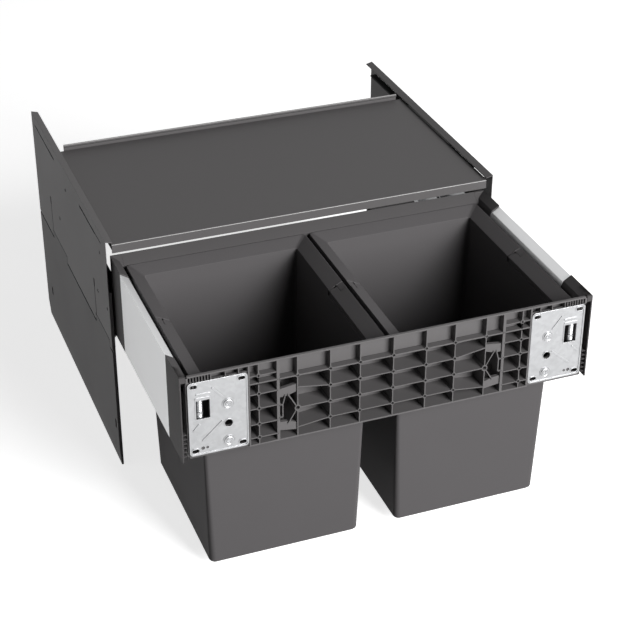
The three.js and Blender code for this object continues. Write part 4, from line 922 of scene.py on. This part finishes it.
def shapeShelf(look):
    low, high = nodeBox("shelf")
    panelHigh = nodeBox("upper_side_panel_right")[1]
    steel, ease, bend = look["steel"], look["ease"], look["bend"]
    half = panelHigh[0] - look["sideGap"]
    front, back, foot, crown = low[1], high[1], low[2], high[2]
    top = foot + look["fascia"]
    shape = bmesh.new()
    # top and fascia, folded about a bend
    angles = [math.radians(look["bendTurn"] * i) for i in range(look["bendSteps"] + 1)]
    outer = [(front + bend * (1 - math.sin(a)), top - bend * (1 - math.cos(a))) for a in angles]
    inner = max(bend - steel, look["leastBend"])
    under = [
        (front + steel + inner * (1 - math.sin(a)), top - steel - inner * (1 - math.cos(a)))
        for a in reversed(angles)
    ]
    lipFoot = back - steel - look["lipGap"]
    sheet = [(lipFoot, top), *outer, (front, foot), (front + steel, foot), *under, (lipFoot, top - steel)]
    addPrism(shape, sheet, "X", -half, half)
    # rear lip with its hem, and the strip that closes the groove before it
    lip = half - look["lipInset"]
    addBar(shape, (-lip, lip), (back - steel, back), (top - steel - look["lipRoot"], crown), ease)
    hemFall, hemDepth = look["hem"]
    corner = look["hemCorner"]
    hemBack, hemNeck = back - steel + look["hemOverlap"], back - steel - look["hemNeck"]
    hemFront = back - steel - hemDepth
    hem = [
        (hemBack, crown), (hemNeck, crown), (hemFront, crown - corner),
        (hemFront, crown - hemFall + corner), (hemNeck, crown - hemFall), (hemBack, crown - hemFall),
    ]
    addPrism(shape, hem, "X", -lip, lip)
    inset, reachForward, drop0, drop1 = look["strip"]
    strip = ((-half + inset, half - inset), (lipFoot - reachForward, back), (top - drop0, top - drop1))
    addBar(shape, *strip, look["stripEase"])
    # flanges and tongues
    tongueLow, tongueHigh = look["tongue"]
    tongueFoot = top - look["slotDrop"] + tongueLow
    z = (tongueFoot, tongueFoot + tongueHigh - tongueLow)
    tip = panelHigh[0] - look["reach"]
    insetFront, insetTop = look["flangeInset"]
    flange = ((front + insetFront, back), (top - look["flange"], top - insetTop))
    for side in (-1, 1):
        addBar(shape, (side * half, side * (half - steel)), *flange, ease)
        for y in look["tongues"]:
            addBar(shape, (side * (half - steel), side * tip), y, z)
    return pieceFrom(shape, "shelf", look["smoothTo"])


# side panels: the solid's own sheet, with the rear slot drawn narrow and the joint between panels opened

panelSheet = {
    "seamDrop": 1.5, "seamOutside": 279.0, "seamBand": (-1.5, 0.05),
    "slotLift": 1.2, "slotFrom": 300.0, "slotBand": 0.1,
}


def shapePanel(node, look):
    shape = solidOf(node)
    shelfLow = nodeBox("shelf")[0]
    slotFoot = (shelfLow[2] + shelfSheet["fascia"] - shelfSheet["slotDrop"]) * mm
    for corner in shape.verts:
        if abs(corner.co.z - slotFoot) < look["slotBand"] * mm and corner.co.y > look["slotFrom"] * mm:
            corner.co.z += look["slotLift"] * mm
    seam = nodeBox("upper_side_panel_right")[0][2] * mm
    seamLow, seamHigh = look["seamBand"]
    if node.startswith("lower"):
        for corner in shape.verts:
            outside = abs(corner.co.x) > look["seamOutside"] * mm
            if outside and seamLow * mm < corner.co.z - seam < seamHigh * mm:
                corner.co.z -= look["seamDrop"] * mm
    rounds = edgeRounds["panel_steel"]
    easeEdges(shape, rounds["radius"], rounds["steps"], edgeRounds["sharpFrom"])
    return pieceFrom(shape, node, edgeRounds["smoothTo"])


# painted light on the shelf and panels: the shelf's bend and its faces that lean forward and up get a
# painted highlight, and walls of holes, slots and joints, the tongues in the slots and the hollow under the
# shelf's rear get painted shade

paintedLightMasks = {
    "square": 0.98, "notAcross": 0.2, "ahead": 0.2, "farthestWall": 9.0,
    "bendSlope": 0.97, "bendAcross": 0.1, "outside": 271.8, "underTop": 2.2, "rearFrom": 290.0,
}


def panelWalls(side):
    neighbours = bmesh.new()
    for other in [name for name in frame["nodes"] if "side_panel" in name and name.endswith(side)]:
        neighbours.from_mesh(frame["nodes"][other].data)
    walls = BVHTree.FromBMesh(neighbours)
    neighbours.free()
    return walls


# painted highlight on shelf faces leaning forward and up, painted shade on those leaning forward and down,
# on the tongues in the slots and in the hollow under the rear of the top
def paintShelf(mesh, look, bend, cut):
    under = (nodeBox("shelf")[0][2] + shelfSheet["fascia"] - look["underTop"]) * mm
    for polygon in mesh.polygons:
        normal, middle = polygon.normal, polygon.center
        tilted = abs(normal.z) < look["bendSlope"] and -look["bendSlope"] < normal.y < 0
        if tilted and abs(normal.x) < look["bendAcross"]:
            polygon.material_index = bend if normal.z > 0 else cut
        inSlot = abs(middle.x) > look["outside"] * mm
        if inSlot or middle.z < under and middle.y > look["rearFrom"] * mm:
            polygon.material_index = cut


# painted shade: a panel's edge faces that look across a gap of at most 9 mm onto a panel are painted near
# black, in slots and in the joint between panels
def paintPanel(mesh, look, cut, walls):
    for polygon in mesh.polygons:
        normal = polygon.normal
        if abs(normal.x) >= look["notAcross"] or max(abs(part) for part in normal) <= look["square"]:
            continue
        start = polygon.center + normal * look["ahead"] * mm
        if walls.ray_cast(start, normal, look["farthestWall"] * mm)[0] is not None:
            polygon.material_index = cut


def paintHighlightAndShade(piece, node):
    # slot 1 holds the painted highlight, slot 2 the painted shade
    bend, cut = 1, 2
    piece.data.materials.append(finishes["bend"])
    piece.data.materials.append(finishes["cut"])
    if node == "shelf":
        paintShelf(piece.data, paintedLightMasks, bend, cut)
    else:
        paintPanel(piece.data, paintedLightMasks, cut, panelWalls(node.rpartition("_")[2]))


# front caps: the solid's own shell, with its slope carried on to the rail's lip

frontCap = {
    "shoulder": (10.9, 7), "chamfer": (4.7, 6), "width": 15.6,
    "slopeWall": 1.6, "slopeFrom": 3.8, "slopeEase": 0.2, "past": 1,
}


def shapeFrontCap(node, look):
    low, high = nodeBox(node)
    side = -1 if node.endswith("left") else 1
    shape = easedSolid(node, edgeRounds["dark_plastic"])
    half = max(abs(low[0]), abs(high[0]))
    run, fall = look["shoulder"]
    chamferRun, chamferFall = look["chamfer"]
    innerFall = fall + chamferFall + chamferRun
    top, wall = high[2], look["slopeWall"]
    shoulder, inside = half - run, half - look["width"]
    slope = [
        (half, top), (shoulder, top - fall), (inside, top - innerFall),
        (inside, top - innerFall - wall), (shoulder, top - fall - wall), (half, top - wall),
    ]
    railBack = nodeBox("front_rail")[1][1]
    y = (low[1] + look["slopeFrom"], railBack + look["past"])
    addPrism(shape, [(side * x, z) for x, z in slope], "Y", *y, look["slopeEase"])
    return pieceFrom(shape, node, edgeRounds["smoothTo"])


# bins: the lower front half's wall is brought flush with the rear half's, and that seam isn't eased

binShell = {
    "frontThroats": (300.89, 302.1), "throatBand": 0.05, "flush": 0.99822,
    "seamLength": 200.0, "seamArea": 200.0, "stepFoot": 100.0, "upright": 0.99,
}


def shapeBin(node, look):
    low, high = nodeBox(node)
    centre = (low[0] + high[0]) / 2
    shape = solidOf(node)
    for corner in shape.verts:
        if any(abs(corner.co.z / mm - height) < look["throatBand"] for height in look["frontThroats"]):
            corner.co.x = (centre + (corner.co.x / mm - centre) * look["flush"]) * mm
    crisp = []
    for edge in crispEdges(shape, edgeRounds["sharpFrom"]):
        narrowest = min(face.calc_area() for face in edge.link_faces)
        if edge.calc_length() < look["seamLength"] * mm or narrowest > look["seamArea"] * mm * mm:
            crisp.append(edge)
    rounds = edgeRounds["bin_plastic"]
    roundEdges(shape, crisp, rounds["radius"], rounds["steps"])
    # the step's end faces run to a point at the base: they are closed again without that point
    ends = [face for face in shape.faces if len(face.verts) > 4 and abs(face.normal.y) > look["upright"]]
    for face in ends:
        rim = [corner for corner in face.verts if corner.co.z > look["stepFoot"] * mm]
        if len(rim) < len(face.verts):
            shape.faces.remove(face)
            shape.faces.new(rim)
    return pieceFrom(shape, node, edgeRounds["smoothTo"])


# each node is dressed by its family's function, or by the plain one

families = {
    "bin": lambda node: shapeBin(node, binShell),
    "front_cap": lambda node: shapeFrontCap(node, frontCap),
    "shelf": lambda node: shapeShelf(shelfSheet),
    "upper_side_panel": lambda node: shapePanel(node, panelSheet),
    "lower_side_panel": lambda node: shapePanel(node, panelSheet),
    "front_rail": lambda node: shapeFrontRail(frontRail),
    "front_bracket": lambda node: shapeBracket(node, frontBracket),
    "bracket_screw_lower": lambda node: shapeBracketScrew(node, bracketScrew),
    "bracket_screw_upper": lambda node: shapeBracketScrew(node, bracketScrew),
    "adjusting_screw": lambda node: shapeAdjuster(node, adjustingScrew),
}


def finishNode(node):
    kind = slotOfNode[node]
    family = node.removesuffix("_left").removesuffix("_right")
    piece = families.get(family, shapePlain)(node)
    piece.data.materials.clear()
    piece.data.materials.append(finishes.get(family, finishes[kind]))
    # the shelf and side panels get their painted highlight and painted shade
    if family in ("shelf", "upper_side_panel", "lower_side_panel"):
        paintHighlightAndShade(piece, node)
    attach(piece, bodyOfNode[node])
    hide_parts(node)


for node in frame["nodes"]:
    finishNode(node)
print("pieces are shaped:", len(frame["nodes"]))
